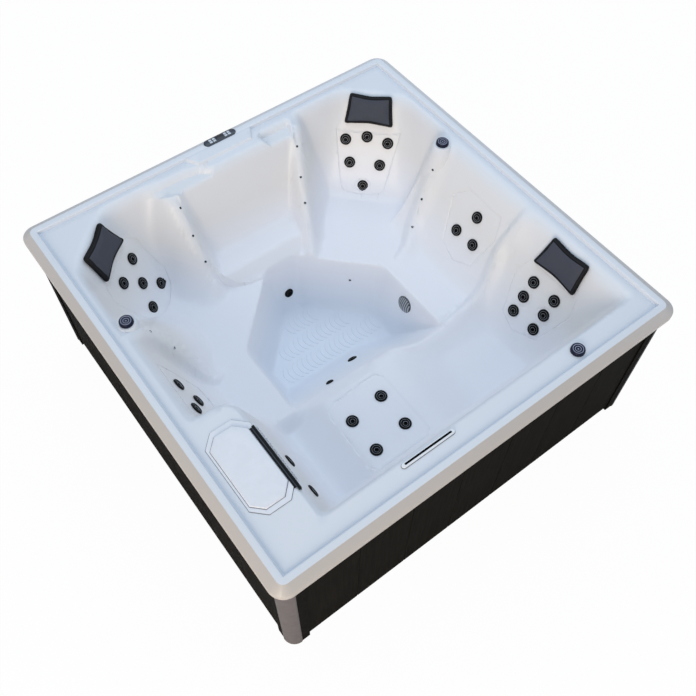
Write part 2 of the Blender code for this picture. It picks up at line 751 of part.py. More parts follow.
# Jets: a dished face with a dark eye on a barrel through the shell
JET_PROFILE = (
    (0.0, JET_LIP - JET_DISH),
    (JET_BEZEL, JET_LIP),
    (JET_RADIUS, SEAT_GAP - SPOT_DEPTH),
    (JET_BARREL_RADIUS, SEAT_GAP - SPOT_DEPTH),
    (JET_BARREL_RADIUS, -JET_BARREL_LENGTH),
    (0.0, -JET_BARREL_LENGTH),
)
jet_mesh = None
JET_PLACES = jet_frames()
for jet_name, place in JET_PLACES:
    jet = turned_object(jet_name, JET_PROFILE, JET_SIDES, JET_PLASTIC, place, None, jet_mesh)
    jet_mesh = jet.data

# Valve knobs: one low cap with a stem through the deck each
KNOB_PROFILE = (
    (0.0, KNOB_HEIGHT - KNOB_DISH),
    (KNOB_DISH_RADIUS, KNOB_HEIGHT - KNOB_DISH),
    (KNOB_RADIUS - KNOB_DRAFT, KNOB_HEIGHT),
    (KNOB_RADIUS, SEAT_GAP - SPOT_DEPTH),
    (KNOB_STEM_RADIUS, SEAT_GAP - SPOT_DEPTH),
    (KNOB_STEM_RADIUS, -KNOB_STEM_LENGTH),
    (0.0, -KNOB_STEM_LENGTH),
)
KNOB_NAMES = ("valve_left", "valve_right", "valve_front")
KNOB_PLACES = []
knob_mesh = None
for knob_name, (share_x, share_y) in zip(KNOB_NAMES, KNOB_SHARES):
    place = Matrix.Translation((share_x * HALF_WIDTH, share_y * HALF_WIDTH, DECK_Z))
    KNOB_PLACES.append(place)
    knob = turned_object(knob_name, KNOB_PROFILE, JET_SIDES * 2, NAVY, place, None, knob_mesh)
    knob_mesh = knob.data

# Suction cover and returns in the footwell walls, by share of the wall's rise
def on_footwell(degrees, distance, tilt, side_share, rise_share):
    down = (FOOTWELL_RIM_Z - FOOTWELL_Z) * (1 - rise_share) / math.cos(tilt)
    return on_wall(degrees, distance, tilt, side_share * HALF_WIDTH, down, FOOTWELL_RIM_Z)


BACK_WALL = (90, FOOTWELL_BACK, FOOTWELL_TILT)
FRONT_WALL = (270, FOOTWELL_FRONT, FOOTWELL_FRONT_TILT)
SUCTION_PLACE = on_footwell(0, FOOTWELL_RIGHT, FOOTWELL_TILT, SUCTION_SHARE, SUCTION_RISE_SHARE)
RETURN_PLACES = (
    on_footwell(*BACK_WALL, RETURN_BACK_SHARE, RETURN_BACK_RISE_SHARE),
    on_footwell(*FRONT_WALL, RETURN_FRONT_SHARES[0], RETURN_FRONT_RISE_SHARE),
    on_footwell(*FRONT_WALL, RETURN_FRONT_SHARES[1], RETURN_SIDE_RISE_SHARE),
)


def cover_profile(radius, dome, pipe_radius, pipe_length):
    return (
        (0.0, dome),
        (radius / 2, dome - SUCTION_RIM / 2),
        (radius - SUCTION_RIM, SUCTION_RIM),
        (radius, SEAT_GAP - SPOT_DEPTH),
        (pipe_radius, SEAT_GAP - SPOT_DEPTH),
        (pipe_radius, -pipe_length),
        (0.0, -pipe_length),
    )


SUCTION_PROFILE = cover_profile(SUCTION_RADIUS, SUCTION_DOME, SUCTION_PIPE_RADIUS, SUCTION_PIPE_LENGTH)
turned_object("suction_cover", SUCTION_PROFILE, JET_SIDES, GREY_ABS, SUCTION_PLACE)
RETURN_PROFILE = cover_profile(RETURN_RADIUS, RETURN_DOME, RETURN_RADIUS / 2, SUCTION_PIPE_LENGTH)
for number, place in enumerate(RETURN_PLACES, 1):
    turned_object("return_%d" % number, RETURN_PROFILE, JET_SIDES, JET_PLASTIC, place)


# Holes in the shell for everything that passes through it
def gather_cutters():
    kinds = (
        ((JET_RADIUS, JET_BARREL_RADIUS, CUT_OVERRUN, SPOT_DEPTH), [place for _, place in JET_PLACES]),
        ((KNOB_RADIUS, KNOB_STEM_RADIUS, CUT_OVERRUN, SPOT_DEPTH), KNOB_PLACES),
        ((SUCTION_RADIUS, SUCTION_PIPE_RADIUS, CUT_OVERRUN, SPOT_DEPTH), [SUCTION_PLACE]),
        ((RETURN_RADIUS, RETURN_RADIUS / 2, CUT_OVERRUN, SPOT_DEPTH), RETURN_PLACES),
    )
    work = bmesh.new()
    for (face, hole, length, spot), places in kinds:
        tool = stepped_cutter("tool", face, hole, length, spot)
        shape = evaluated_mesh(tool)
        bpy.data.objects.remove(tool, do_unlink=True)
        for place in places:
            before = len(work.verts)
            work.from_mesh(shape)
            work.verts.ensure_lookup_table()
            bmesh.ops.transform(work, matrix=place, verts=work.verts[before:])
    length, width = (size + 2 * HOLE_CLEARANCE for size in (KEYPAD_LENGTH, KEYPAD_WIDTH))
    outline = rounded_bar(length, width, KEYPAD_ARC_STEPS)
    moved = [(x + KEYPAD_X, y + KEYPAD_Y) for x, y in outline]
    add_prism(work, moved, HEIGHT - KEYPAD_SINK, HEIGHT + CUT_OVERRUN)
    mesh = finish_bmesh(work, "shell_holes")
    return hide_cutter(add_object("shell_holes", mesh, ACRYLIC, None, CUTTERS))


cut(SHELL, gather_cutters())


# Pillows: crowned pads with drawn-in sides, clear of the backrest
def build_pillow(name, rest, side):
    degrees, distance, tilt = BACKRESTS[rest]
    work = bmesh.new()
    bmesh.ops.create_cube(work, size=1.0)
    bmesh.ops.subdivide_edges(work, edges=work.edges, cuts=1, use_grid_fill=True)
    for vert in work.verts:
        across, along, level = (2 * value for value in vert.co)
        half_width = PILLOW_WIDTH / 2 - PILLOW_WAIST * (1 - along * along)
        half_height = PILLOW_HEIGHT / 2 - PILLOW_WAIST * (1 - across * across)
        crown = PILLOW_CROWN * (1 - across * across) * (1 - along * along)
        top = PILLOW_THICKNESS + crown if level > 0 else 0.0
        middle = (PILLOW_THICKNESS + PILLOW_CROWN) / 2
        height = middle if level == 0 else top
        vert.co = (across * half_width, along * half_height, height)
    place = on_wall(degrees, distance, tilt, side, PILLOW_HEIGHT / 2)
    lift = place.to_3x3() @ Vector((0.0, 0.0, PILLOW_LIFT))
    item = add_object(name, finish_bmesh(work, name), FOAM, Matrix.Translation(lift) @ place)
    soft = item.modifiers.new("soft", "SUBSURF")
    soft.levels = 2
    soft.render_levels = 2
    item.data.shade_smooth()
    return item


for pillow_name, rest, side_share in PILLOW_SHARES:
    build_pillow(pillow_name, rest, side_share * HALF_WIDTH)


# Keypad: a light oval plate sunk in the lip
def build_keypad():
    outline = rounded_bar(KEYPAD_LENGTH, KEYPAD_WIDTH, KEYPAD_ARC_STEPS)
    bottom = HEIGHT - KEYPAD_SINK + SEAT_GAP
    moved = [(x + KEYPAD_X, y + KEYPAD_Y) for x, y in outline]
    item = prism_object("keypad", moved, bottom, bottom + KEYPAD_HEIGHT, KEYPAD_FACE)
    edge = item.modifiers.new("edge", "BEVEL")
    edge.width = KEYPAD_BEVEL
    edge.segments = 1
    edge.limit_method = "ANGLE"
    edge.angle_limit = math.radians(60)
    return item


build_keypad()


# Filter trim, lid, weir flap and cartridges
def build_filter():
    low = DECK_Z + SEAT_GAP
    centre = Matrix.Translation((-TRIM_X, -BAY_Y, 0.0))
    work = bmesh.new()
    add_prism(work, octagon(TRIM_WIDTH, TRIM_LENGTH, TRIM_CUT), low, low + TRIM_THICKNESS)
    trim = add_object("filter_trim", finish_bmesh(work, "filter_trim"), WHITE_ABS, centre)
    opening = octagon(LID_WIDTH - 2 * BAY_DRAFT, LID_LENGTH - 2 * BAY_DRAFT, LID_CUT - BAY_DRAFT / 2)
    shifted = [(x - LID_X, y - BAY_Y) for x, y in opening]
    hole = prism_object("trim_hole", shifted, low - CUT_OVERRUN, low + CUT_OVERRUN, WHITE_ABS, CUTTERS)
    cut(trim, hide_cutter(hole))
    lid_low = low + TRIM_THICKNESS + SEAT_GAP
    work = bmesh.new()
    add_prism(work, octagon(LID_WIDTH, LID_LENGTH, LID_CUT), lid_low, lid_low + LID_THICKNESS)
    lid = add_object("filter_lid", finish_bmesh(work, "filter_lid"), WHITE_ABS,
                     Matrix.Translation((-LID_X, -BAY_Y, 0.0)))
    edge = lid.modifiers.new("edge", "BEVEL")
    edge.width = LID_THICKNESS / 3
    edge.segments = 2
    edge.limit_method = "ANGLE"
    edge.angle_limit = math.radians(60)

    # Weir flap: a plate that stands on its pin along the sill
    pin_z = WEIR_SILL_Z + WEIR_PIN_RADIUS + SEAT_GAP
    length = WEIR_LENGTH - 2 * WEIR_END_GAP
    work = bmesh.new()
    half = WEIR_THICKNESS / 2
    shoulder = WEIR_HEIGHT - half
    outline = [(-half, 0.0), (half, 0.0), (half, shoulder), (0.0, WEIR_HEIGHT), (-half, shoulder)]
    for step in range(1, 6):
        angle = math.pi * step / 6
        outline.insert(step, (-WEIR_PIN_RADIUS * math.cos(angle), -WEIR_PIN_RADIUS * math.sin(angle)))
    add_prism(work, outline, -length / 2, length / 2)
    upright = Matrix.Rotation(math.radians(90), 4, "X")
    weir = add_object("weir_flap", finish_bmesh(work, "weir_flap"), GREY_ABS,
                      Matrix.Translation((-WEIR_X, -BAY_Y, pin_z)) @ upright)
    weir.data.shade_flat()

    # Cartridges: pleated drums between end caps, standing on their necks
    for number, way in ((1, -1), (2, 1)):
        place = Matrix.Translation((-BAY_X, -BAY_Y + way * CARTRIDGE_PITCH / 2, BAY_Z + SEAT_GAP))
        body_low = CARTRIDGE_NECK + CARTRIDGE_CAP
        body_high = body_low + CARTRIDGE_LENGTH
        work = bmesh.new()
        outline = []
        for step in range(2 * CARTRIDGE_PLEATS):
            angle = math.pi * step / CARTRIDGE_PLEATS
            radius = CARTRIDGE_RADIUS - SEAT_GAP * 2 - (CARTRIDGE_PLEAT if step % 2 else 0.0)
            outline.append((radius * math.cos(angle), radius * math.sin(angle)))
        add_prism(work, outline, body_low - CARTRIDGE_CAP / 2, body_high + CARTRIDGE_CAP / 2)
        drum = add_object("drum_%d" % number, finish_bmesh(work, "drum_%d" % number), PAPER, place, CUTTERS)
        hide_cutter(drum)
        profile = (
            (0.0, body_high + CARTRIDGE_CAP),
            (CARTRIDGE_RADIUS, body_high + CARTRIDGE_CAP),
            (CARTRIDGE_RADIUS, body_high),
            (CARTRIDGE_BORE, body_high),
            (CARTRIDGE_BORE, body_low),
            (CARTRIDGE_RADIUS, body_low),
            (CARTRIDGE_RADIUS, CARTRIDGE_NECK),
            (CARTRIDGE_BORE, CARTRIDGE_NECK),
            (CARTRIDGE_BORE, 0.0),
            (0.0, 0.0),
        )
        cartridge = turned_object("filter_cartridge_%d" % number, profile, CARTRIDGE_PLEATS, PAPER, place)
        cut(cartridge, drum, "UNION")


build_filter()


# Waterfall spout: a rounded bar with one long slot
def build_waterfall():
    bottom = DECK_Z + SEAT_GAP
    centre = Matrix.Translation((-FALL_X, -FALL_Y, 0.0))
    work = bmesh.new()
    add_prism(work, rounded_bar(FALL_LENGTH, FALL_WIDTH, KEYPAD_ARC_STEPS), bottom, bottom + FALL_HEIGHT)
    bar = add_object("waterfall_spout", finish_bmesh(work, "waterfall_spout"), WHITE_ABS, centre)
    top = bottom + FALL_HEIGHT
    half_x, half_y = FALL_SLOT_LENGTH / 2, FALL_SLOT_WIDTH / 2
    slot = box_object("waterfall_slot", (-FALL_X - half_x, -FALL_Y - half_y, top - FALL_SLOT_DEPTH),
                      (-FALL_X + half_x, -FALL_Y + half_y, top + CUT_OVERRUN), WHITE_ABS, CUTTERS)
    cut(bar, hide_cutter(slot))


build_waterfall()


# Cabinet: four boarded panels between four rounded corner posts
def build_panels():
    post_half = CABINET_HALF + POST_PROUD
    reach = post_half - POST_LEG - SEAT_GAP
    outer, inner = CABINET_HALF, CABINET_HALF - PANEL_THICKNESS
    for name, degrees in (("panel_front", 0), ("panel_right", 90), ("panel_back", 180), ("panel_left", 270)):
        outline = [(reach, -inner), (-reach, -inner), (-reach, -outer)]
        for board in range(1, PANEL_BOARDS):
            middle = mix(-reach, reach, board / PANEL_BOARDS)
            half = PANEL_GROOVE_WIDTH / 2
            outline += [
                (middle - half, -outer),
                (middle, -outer + PANEL_GROOVE_DEPTH),
                (middle + half, -outer),
            ]
        outline.append((reach, -outer))
        work = bmesh.new()
        add_prism(work, outline, PANEL_BOTTOM, PANEL_TOP)
        turn = Matrix.Rotation(math.radians(degrees), 4, "Z")
        add_object(name, finish_bmesh(work, name), CHARCOAL, turn)


def corner_outline():
    """Rounded corner with two legs and a raised band round the bend."""
    outer = CABINET_HALF + POST_PROUD
    centre = outer - POST_RADIUS
    points = [(outer - POST_LEG, outer), (outer - POST_RIB_HALF - POST_RADIUS / 2, outer)]
    inner = []
    for step in range(POST_ARC_STEPS + 1):
        angle = math.pi / 2 * (1 - step / POST_ARC_STEPS)
        band = POST_RADIUS + POST_RIB
        points.append((centre + band * math.cos(angle), centre + band * math.sin(angle)))
        bend = POST_RADIUS - POST_THICKNESS
        inner.append((centre + bend * math.cos(angle), centre + bend * math.sin(angle)))
    points += [(outer, outer - POST_RIB_HALF - POST_RADIUS / 2), (outer, outer - POST_LEG)]
    points.append((outer - POST_THICKNESS, outer - POST_LEG))
    points += list(reversed(inner))
    points.append((outer - POST_LEG, outer - POST_THICKNESS))
    return points


def build_posts():
    names = ("post_rear_right", "post_rear_left", "post_front_left", "post_front_right")
    top = HEIGHT - LIP_DEPTH - POST_TOP_GAP
    for quarter, name in enumerate(names):
        work = bmesh.new()
        add_prism(work, corner_outline(), 0.0, top)
        turn = Matrix.Rotation(quarter * math.pi / 2, 4, "Z")
        add_object(name, finish_bmesh(work, name), TRIM_DARK, turn)


build_panels()
build_posts()


# Base pan: a ribbed tray under everything
def build_pan():
    outline = octagon(2 * PAN_HALF, 2 * PAN_HALF, CORNER_CUT)
    pan = prism_object("base_pan", outline, 0.0, PAN_HEIGHT, PAN_BLACK)
    work = bmesh.new()
    inside = PAN_HALF - PAN_RIM
    add_box(work, (-inside, -inside, PAN_THICKNESS), (inside, inside, PAN_HEIGHT + CUT_OVERRUN))
    hollow = add_object("pan_hollow", finish_bmesh(work, "pan_hollow"), PAN_BLACK, None, CUTTERS)
    cut(pan, hide_cutter(hollow))


# Frame: wall ring with window cuts, leaving rails and studs
def build_frame():
    outer = CABINET_HALF - PANEL_THICKNESS - SEAT_GAP
    inner = outer - FRAME_BAR
    low = PAN_HEIGHT + SEAT_GAP
    high = DECK_Z - SHELL_THICKNESS - SEAT_GAP + FRAME_LIFT
    frame = prism_object("support_frame", octagon(2 * outer, 2 * outer, CORNER_CUT), low, high, TIMBER)
    work = bmesh.new()
    add_box(work, (-inner, -inner, low - CUT_OVERRUN), (inner, inner, high + CUT_OVERRUN))
    cut(frame, hide_cutter(add_object("frame_core", finish_bmesh(work, "frame_core"), TIMBER, None, CUTTERS)))
    span = (2 * inner - (FRAME_STUDS - 1) * FRAME_BAR) / FRAME_STUDS
    for axis in (0, 1):
        work = bmesh.new()
        for bay in range(FRAME_STUDS):
            start = -inner + bay * (span + FRAME_BAR)
            reach = outer + CUT_OVERRUN
            first, second = (start, -reach), (start + span, reach)
            if axis:
                first, second = (-reach, start), (reach, start + span)
            add_box(work, (*first, low + FRAME_RAIL), (*second, high - FRAME_RAIL))
        name = "frame_windows_%d" % axis
        cut(frame, hide_cutter(add_object(name, finish_bmesh(work, name), TIMBER, None, CUTTERS)))


build_pan()
build_frame()


# Pumps and heater pack on the base pan, under the rear seats
def build_pump(name, x, turn):
    axis_z = PAN_THICKNESS + PUMP_FOOT_HEIGHT + PUMP_HEAD_RADIUS + SEAT_GAP
    lying = Matrix.Rotation(math.radians(90) * turn, 4, "Y")
    place = Matrix.Translation((x, PUMP_Y, axis_z)) @ lying
    profile = (
        (0.0, PUMP_HEAD_LENGTH + PUMP_PORT_LENGTH),
        (PUMP_PORT_RADIUS, PUMP_HEAD_LENGTH + PUMP_PORT_LENGTH),
        (PUMP_PORT_RADIUS, PUMP_HEAD_LENGTH),
        (PUMP_HEAD_RADIUS * PUMP_CHAMFER_SHARE, PUMP_HEAD_LENGTH),
        (PUMP_HEAD_RADIUS, PUMP_HEAD_LENGTH * PUMP_SHOULDER_SHARE),
        (PUMP_HEAD_RADIUS, 0.0),
        (PUMP_MOTOR_RADIUS, -PUMP_HEAD_LENGTH * PUMP_TAPER_SHARE),
        (PUMP_MOTOR_RADIUS, -PUMP_MOTOR_LENGTH * PUMP_CHAMFER_SHARE),
        (PUMP_MOTOR_RADIUS * PUMP_SHOULDER_SHARE, -PUMP_MOTOR_LENGTH),
        (0.0, -PUMP_MOTOR_LENGTH),
    )
    pump = turned_object(name, profile, PUMP_SIDES, MOTOR, place)
    work = bmesh.new()
    half_x, half_y = PUMP_FOOT_LENGTH / 2, PUMP_FOOT_WIDTH / 2
    foot_x = x - turn * (PUMP_FOOT_LENGTH / 2 - PUMP_HEAD_LENGTH / 2)
    low, high = PAN_THICKNESS + SEAT_GAP, axis_z - PUMP_MOTOR_RADIUS / 2
    corners = [(foot_x + way * half_x, PUMP_Y + way * half_y, level) for way, level in ((-1, low), (1, high))]
    add_box(work, *corners)
    foot = add_object(name + "_foot", finish_bmesh(work, name + "_foot"), MOTOR, None, CUTTERS)
    cut(pump, hide_cutter(foot), "UNION")
    port = turned_object(name + "_port", (
        (0.0, PUMP_HEAD_RADIUS + PUMP_PORT_LENGTH),
        (PUMP_PORT_RADIUS, PUMP_HEAD_RADIUS + PUMP_PORT_LENGTH),
        (PUMP_PORT_RADIUS, 0.0),
        (0.0, 0.0),
    ), JET_SIDES, MOTOR, Matrix.Translation((x + turn * PUMP_HEAD_LENGTH / 2, PUMP_Y, axis_z)), CUTTERS)
    cut(pump, hide_cutter(port), "UNION")


def build_pack():
    low = PAN_THICKNESS + SEAT_GAP
    half_x, half_y = PACK_LENGTH / 2, PACK_DEPTH / 2
    first = (-half_x, PUMP_Y - half_y, low)
    last = (half_x, PUMP_Y + half_y, low + PACK_HEIGHT)
    pack = box_object("heater_pack", first, last, GREY_ABS)
    edge = pack.modifiers.new("edge", "BEVEL")
    edge.width = PAN_THICKNESS
    edge.segments = 2
    lying = Matrix.Rotation(math.radians(90), 4, "Y")
    middle = (0.0, PUMP_Y - half_y - HEATER_RADIUS / 2, low + PACK_HEIGHT / 2)
    heater = turned_object("heater_tube", (
        (0.0, HEATER_LENGTH / 2),
        (HEATER_RADIUS, HEATER_LENGTH / 2),
        (HEATER_RADIUS, -HEATER_LENGTH / 2),
        (0.0, -HEATER_LENGTH / 2),
    ), JET_SIDES, STEEL, Matrix.Translation(middle) @ lying, CUTTERS)
    cut(pack, hide_cutter(heater), "UNION")


build_pump("pump_left", -PUMP_X, 1)
build_pump("pump_right", PUMP_X, -1)
build_pack()
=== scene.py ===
"""Looks of the acrylic hot tub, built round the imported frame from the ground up."""

import math

import bmesh
import bpy
import numpy as np
from mathutils import Matrix, Vector


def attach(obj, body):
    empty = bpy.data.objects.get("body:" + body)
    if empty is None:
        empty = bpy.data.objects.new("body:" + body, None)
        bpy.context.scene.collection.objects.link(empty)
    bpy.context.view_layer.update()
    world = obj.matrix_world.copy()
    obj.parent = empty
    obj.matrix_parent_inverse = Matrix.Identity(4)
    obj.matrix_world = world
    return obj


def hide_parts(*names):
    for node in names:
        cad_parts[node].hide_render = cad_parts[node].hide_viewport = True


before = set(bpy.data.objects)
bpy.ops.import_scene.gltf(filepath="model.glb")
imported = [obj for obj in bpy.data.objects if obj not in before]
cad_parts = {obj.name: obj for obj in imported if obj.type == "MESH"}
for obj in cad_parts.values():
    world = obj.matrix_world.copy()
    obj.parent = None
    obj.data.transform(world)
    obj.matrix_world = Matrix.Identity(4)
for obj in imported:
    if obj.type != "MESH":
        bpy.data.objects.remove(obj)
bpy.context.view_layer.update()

# Camera. The tub was photographed from a raised stand beyond its front left
# corner, looking steeply down into it with a moderate lens.
AZIMUTH = math.radians(-37.7524)
ELEVATION = math.radians(57.5887)
ROLL = math.radians(0.8671)
LENS = 42.43
SENSOR_WIDTH = 36.0
STAND = Vector((-1.358498, -1.822691, 3.756574))

back = Vector((
    math.sin(AZIMUTH) * math.cos(ELEVATION),
    -math.cos(AZIMUTH) * math.cos(ELEVATION),
    math.sin(ELEVATION),
))
across = Vector((0.0, 0.0, 1.0)).cross(back).normalized()
upward = back.cross(across)
tilted_across = across * math.cos(ROLL) + upward * math.sin(ROLL)
tilted_up = upward * math.cos(ROLL) - across * math.sin(ROLL)
view_turn = Matrix((tilted_across, tilted_up, back)).transposed().to_4x4()
camera = bpy.data.objects.new("camera", bpy.data.cameras.new("camera"))
camera.data.lens = LENS
camera.data.sensor_width = SENSOR_WIDTH
camera.matrix_world = Matrix.Translation(STAND) @ view_turn
bpy.context.scene.collection.objects.link(camera)
bpy.context.scene.camera = camera


# Floor and light. A pale seamless studio floor under a soft overhead sky, a
# little cool from above and a little warm from low down, as in open shade.
FLOOR_REACH = 30.0
FLOOR_COLOUR = (0.93, 0.93, 0.93, 1.0)
FLOOR_ROUGHNESS = 0.9
FLOOR_SHINE = 0.1
PAPER_SHARE = 0.965
SKY_TOP = (0.64, 0.81, 1.0)
SKY_LOW = (1.0, 0.92, 0.84)
SKY_LEVEL = 0.66
LAMP_WIDTH = 5.0


def new_material(name):
    """A new material, with its nodes and links."""
    made = bpy.data.materials.new(name)
    made.use_nodes = True
    return made, made.node_tree.nodes, made.node_tree.links


def seen_directly(nodes, links):
    """1 for what the camera sees, straight or through something clear, otherwise 0."""
    path = nodes.new("ShaderNodeLightPath")
    either = nodes.new("ShaderNodeMath")
    either.operation = "MAXIMUM"
    links.new(path.outputs["Is Camera Ray"], either.inputs[0])
    links.new(path.outputs["Is Transmission Ray"], either.inputs[1])
    return either.outputs[0]


def ramp_of(nodes, links, value, *stops):
    """Blend through colours as a value passes their positions."""
    ramp = nodes.new("ShaderNodeValToRGB")
    held = ramp.color_ramp.elements
    for stop, (position, colour) in zip(held, (stops[0], stops[-1])):
        stop.position = position
        stop.color = (*colour, 1.0)
    for position, colour in stops[1:-1]:
        held.new(position).color = (*colour, 1.0)
    links.new(value, ramp.inputs["Fac"])
    return ramp.outputs["Color"]


floor_material, nodes, links = new_material("studio_floor")
floor_shader = nodes["Principled BSDF"]
floor_shader.inputs["Base Color"].default_value = FLOOR_COLOUR
floor_shader.inputs["Roughness"].default_value = FLOOR_ROUGHNESS
floor_shader.inputs["Specular IOR Level"].default_value = FLOOR_SHINE
paper = nodes.new("ShaderNodeEmission")
paper.inputs["Strength"].default_value = 1.0
share = nodes.new("ShaderNodeMath")
share.operation = "MULTIPLY"
share.inputs[1].default_value = PAPER_SHARE
blend = nodes.new("ShaderNodeMixShader")
links.new(seen_directly(nodes, links), share.inputs[0])
links.new(share.outputs[0], blend.inputs[0])
links.new(floor_shader.outputs[0], blend.inputs[1])
links.new(paper.outputs[0], blend.inputs[2])
links.new(blend.outputs[0], nodes["Material Output"].inputs["Surface"])
floor_mesh = bpy.data.meshes.new("floor")
corners = [(x * FLOOR_REACH, y * FLOOR_REACH, 0.0) for x, y in ((-1, -1), (1, -1), (1, 1), (-1, 1))]
floor_mesh.from_pydata(corners, [], [(0, 1, 2, 3)])
floor_mesh.materials.append(floor_material)
floor = bpy.data.objects.new("floor", floor_mesh)
bpy.context.scene.collection.objects.link(floor)

world = bpy.data.worlds.new("open_shade")
world.use_nodes = True
bpy.context.scene.world = world
nodes, links = world.node_tree.nodes, world.node_tree.links
nodes.clear()
place = nodes.new("ShaderNodeTexCoord")
height_of = nodes.new("ShaderNodeSeparateXYZ")
lit = nodes.new("ShaderNodeBackground")
lit.inputs["Strength"].default_value = SKY_LEVEL
plain = nodes.new("ShaderNodeBackground")
plain.inputs["Strength"].default_value = 1.0
choose = nodes.new("ShaderNodeMixShader")
output = nodes.new("ShaderNodeOutputWorld")
links.new(place.outputs["Generated"], height_of.inputs[0])
sky = ramp_of(nodes, links, height_of.outputs["Z"], (0.0, SKY_LOW), (1.0, SKY_TOP))
links.new(sky, lit.inputs["Color"])
links.new(seen_directly(nodes, links), choose.inputs[0])
links.new(lit.outputs[0], choose.inputs[1])
links.new(plain.outputs[0], choose.inputs[2])
links.new(choose.outputs[0], output.inputs[0])

for name, spot, power, colour in (
    ("low_sun", (-6.2, -5.2, 3.0), 375.0, (1.0, 0.84, 0.66)),
    ("overhead", (1.4, 1.8, 5.2), 72.0, (0.76, 0.88, 1.0)),
):
    lamp = bpy.data.lights.new(name, "AREA")
    lamp.shape = "DISK"
    lamp.size = LAMP_WIDTH
    lamp.energy = power
    lamp.color = colour
    holder = bpy.data.objects.new(name, lamp)
    holder.location = spot
    holder.rotation_mode = "QUATERNION"
    holder.rotation_quaternion = (-Vector(spot)).to_track_quat("-Z", "Y")
    bpy.context.scene.collection.objects.link(holder)
bpy.context.scene.view_settings.view_transform = "Standard"


# Base pan. A vacuum-formed black plastic tray under the whole tub, textured
# like other heavy sheet plastic, with the frame and pumps standing in it.
PAN_COLOUR = (0.016, 0.016, 0.017)
MOTTLE_COARSER = 30
GLOSS_COARSER = 12
GLOSS_SPREAD = 0.15
SKIN_DEPTH = 0.0004
COAT_ROUGHNESS = 0.08


def grain(nodes, links, scale, detail=3.0, stretch=(1.0, 1.0, 1.0)):
    """Noise on the piece's own coordinates, stretched along an axis if wanted."""
    spot = nodes.new("ShaderNodeTexCoord")
    turn = nodes.new("ShaderNodeMapping")
    turn.inputs["Scale"].default_value = stretch
    noise = nodes.new("ShaderNodeTexNoise")
    noise.inputs["Scale"].default_value = scale
    noise.inputs["Detail"].default_value = detail
    links.new(spot.outputs["Object"], turn.inputs["Vector"])
    links.new(turn.outputs["Vector"], noise.inputs["Vector"])
    return noise.outputs["Fac"]


def relief_from(nodes, links, height, strength, depth):
    """Let a value raise and lower the surface a little."""
    bump = nodes.new("ShaderNodeBump")
    bump.inputs["Strength"].default_value = strength
    bump.inputs["Distance"].default_value = depth
    links.new(height, bump.inputs["Height"])
    links.new(bump.outputs["Normal"], nodes["Principled BSDF"].inputs["Normal"])


def moulded(name, colour, roughness, scale=900.0, relief=0.10, contrast=0.12, coat=0.0, shine=0.5):
    """Moulded plastic: a slight mottle in colour and gloss, and a fine skin."""
    made, nodes, links = new_material(name)
    shader = nodes["Principled BSDF"]
    darker = tuple(c * (1 - contrast) for c in colour)
    mottle = grain(nodes, links, scale / MOTTLE_COARSER, 4.0)
    mottled = ramp_of(nodes, links, mottle, (0.35, darker), (0.65, colour))
    links.new(mottled, shader.inputs["Base Color"])
    gloss = nodes.new("ShaderNodeMapRange")
    gloss.inputs["To Min"].default_value = roughness * (1 - GLOSS_SPREAD)
    gloss.inputs["To Max"].default_value = roughness * (1 + GLOSS_SPREAD)
    links.new(grain(nodes, links, scale / GLOSS_COARSER), gloss.inputs["Value"])
    links.new(gloss.outputs["Result"], shader.inputs["Roughness"])
    relief_from(nodes, links, grain(nodes, links, scale), relief, SKIN_DEPTH)
    shader.inputs["Specular IOR Level"].default_value = shine
    shader.inputs["Coat Weight"].default_value = coat
    shader.inputs["Coat Roughness"].default_value = COAT_ROUGHNESS
    return made


def dress(node, made):
    """Give a carried-over CAD node its material, in each of its material slots."""
    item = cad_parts[node]
    if not item.material_slots:
        item.data.materials.append(made)
    for held in item.material_slots:
        held.material = made


dress("base_pan", moulded("black_tray", PAN_COLOUR, 0.55, scale=420.0, relief=0.30))


# Support frame. Planed and pressure-treated softwood bars, screwed together
# into a ring that carries the lip of the shell and the cabinet panels.
WOOD_PALE = (0.46, 0.32, 0.18)
WOOD_DARK = (0.27, 0.17, 0.085)
WOOD_ROUGHNESS = 0.72

timber, nodes, links = new_material("treated_softwood")
rings = nodes.new("ShaderNodeTexWave")
rings.bands_direction = "Z"
for label, value in (("Scale", 22.0), ("Distortion", 5.0), ("Detail", 3.0), ("Detail Scale", 1.4)):
    rings.inputs[label].default_value = value
spot = nodes.new("ShaderNodeTexCoord")
links.new(spot.outputs["Object"], rings.inputs["Vector"])
shader = nodes["Principled BSDF"]
wood = ramp_of(nodes, links, rings.outputs["Fac"], (0.2, WOOD_PALE), (0.9, WOOD_DARK))
links.new(wood, shader.inputs["Base Color"])
shader.inputs["Roughness"].default_value = WOOD_ROUGHNESS
relief_from(nodes, links, rings.outputs["Fac"], 0.25, 0.001)
dress("support_frame", timber)


# Pumps and heater pack. Cast plastic pump housings with black motors, and a
# grey control box with its heater tube, all fixed to the base pan.
pump_black = moulded("pump_black", (0.024, 0.024, 0.027), 0.42, scale=500.0, relief=0.25)
for side in ("left", "right"):
    dress("pump_" + side, pump_black)
box_grey = moulded("control_box_grey", (0.26, 0.27, 0.29), 0.45, scale=600.0, relief=0.20)
dress("heater_pack", box_grey)


# Cabinet panels. Charcoal wood-composite boards, tongued together and clipped
# to the frame, with a fine brushed grain that runs down each board.
PANEL_COLOUR = (0.0105, 0.0090, 0.0070)
PANEL_STREAK = (0.0056, 0.0048, 0.0037)
PANEL_ROUGHNESS = 0.75
PANEL_SHINE = 0.03

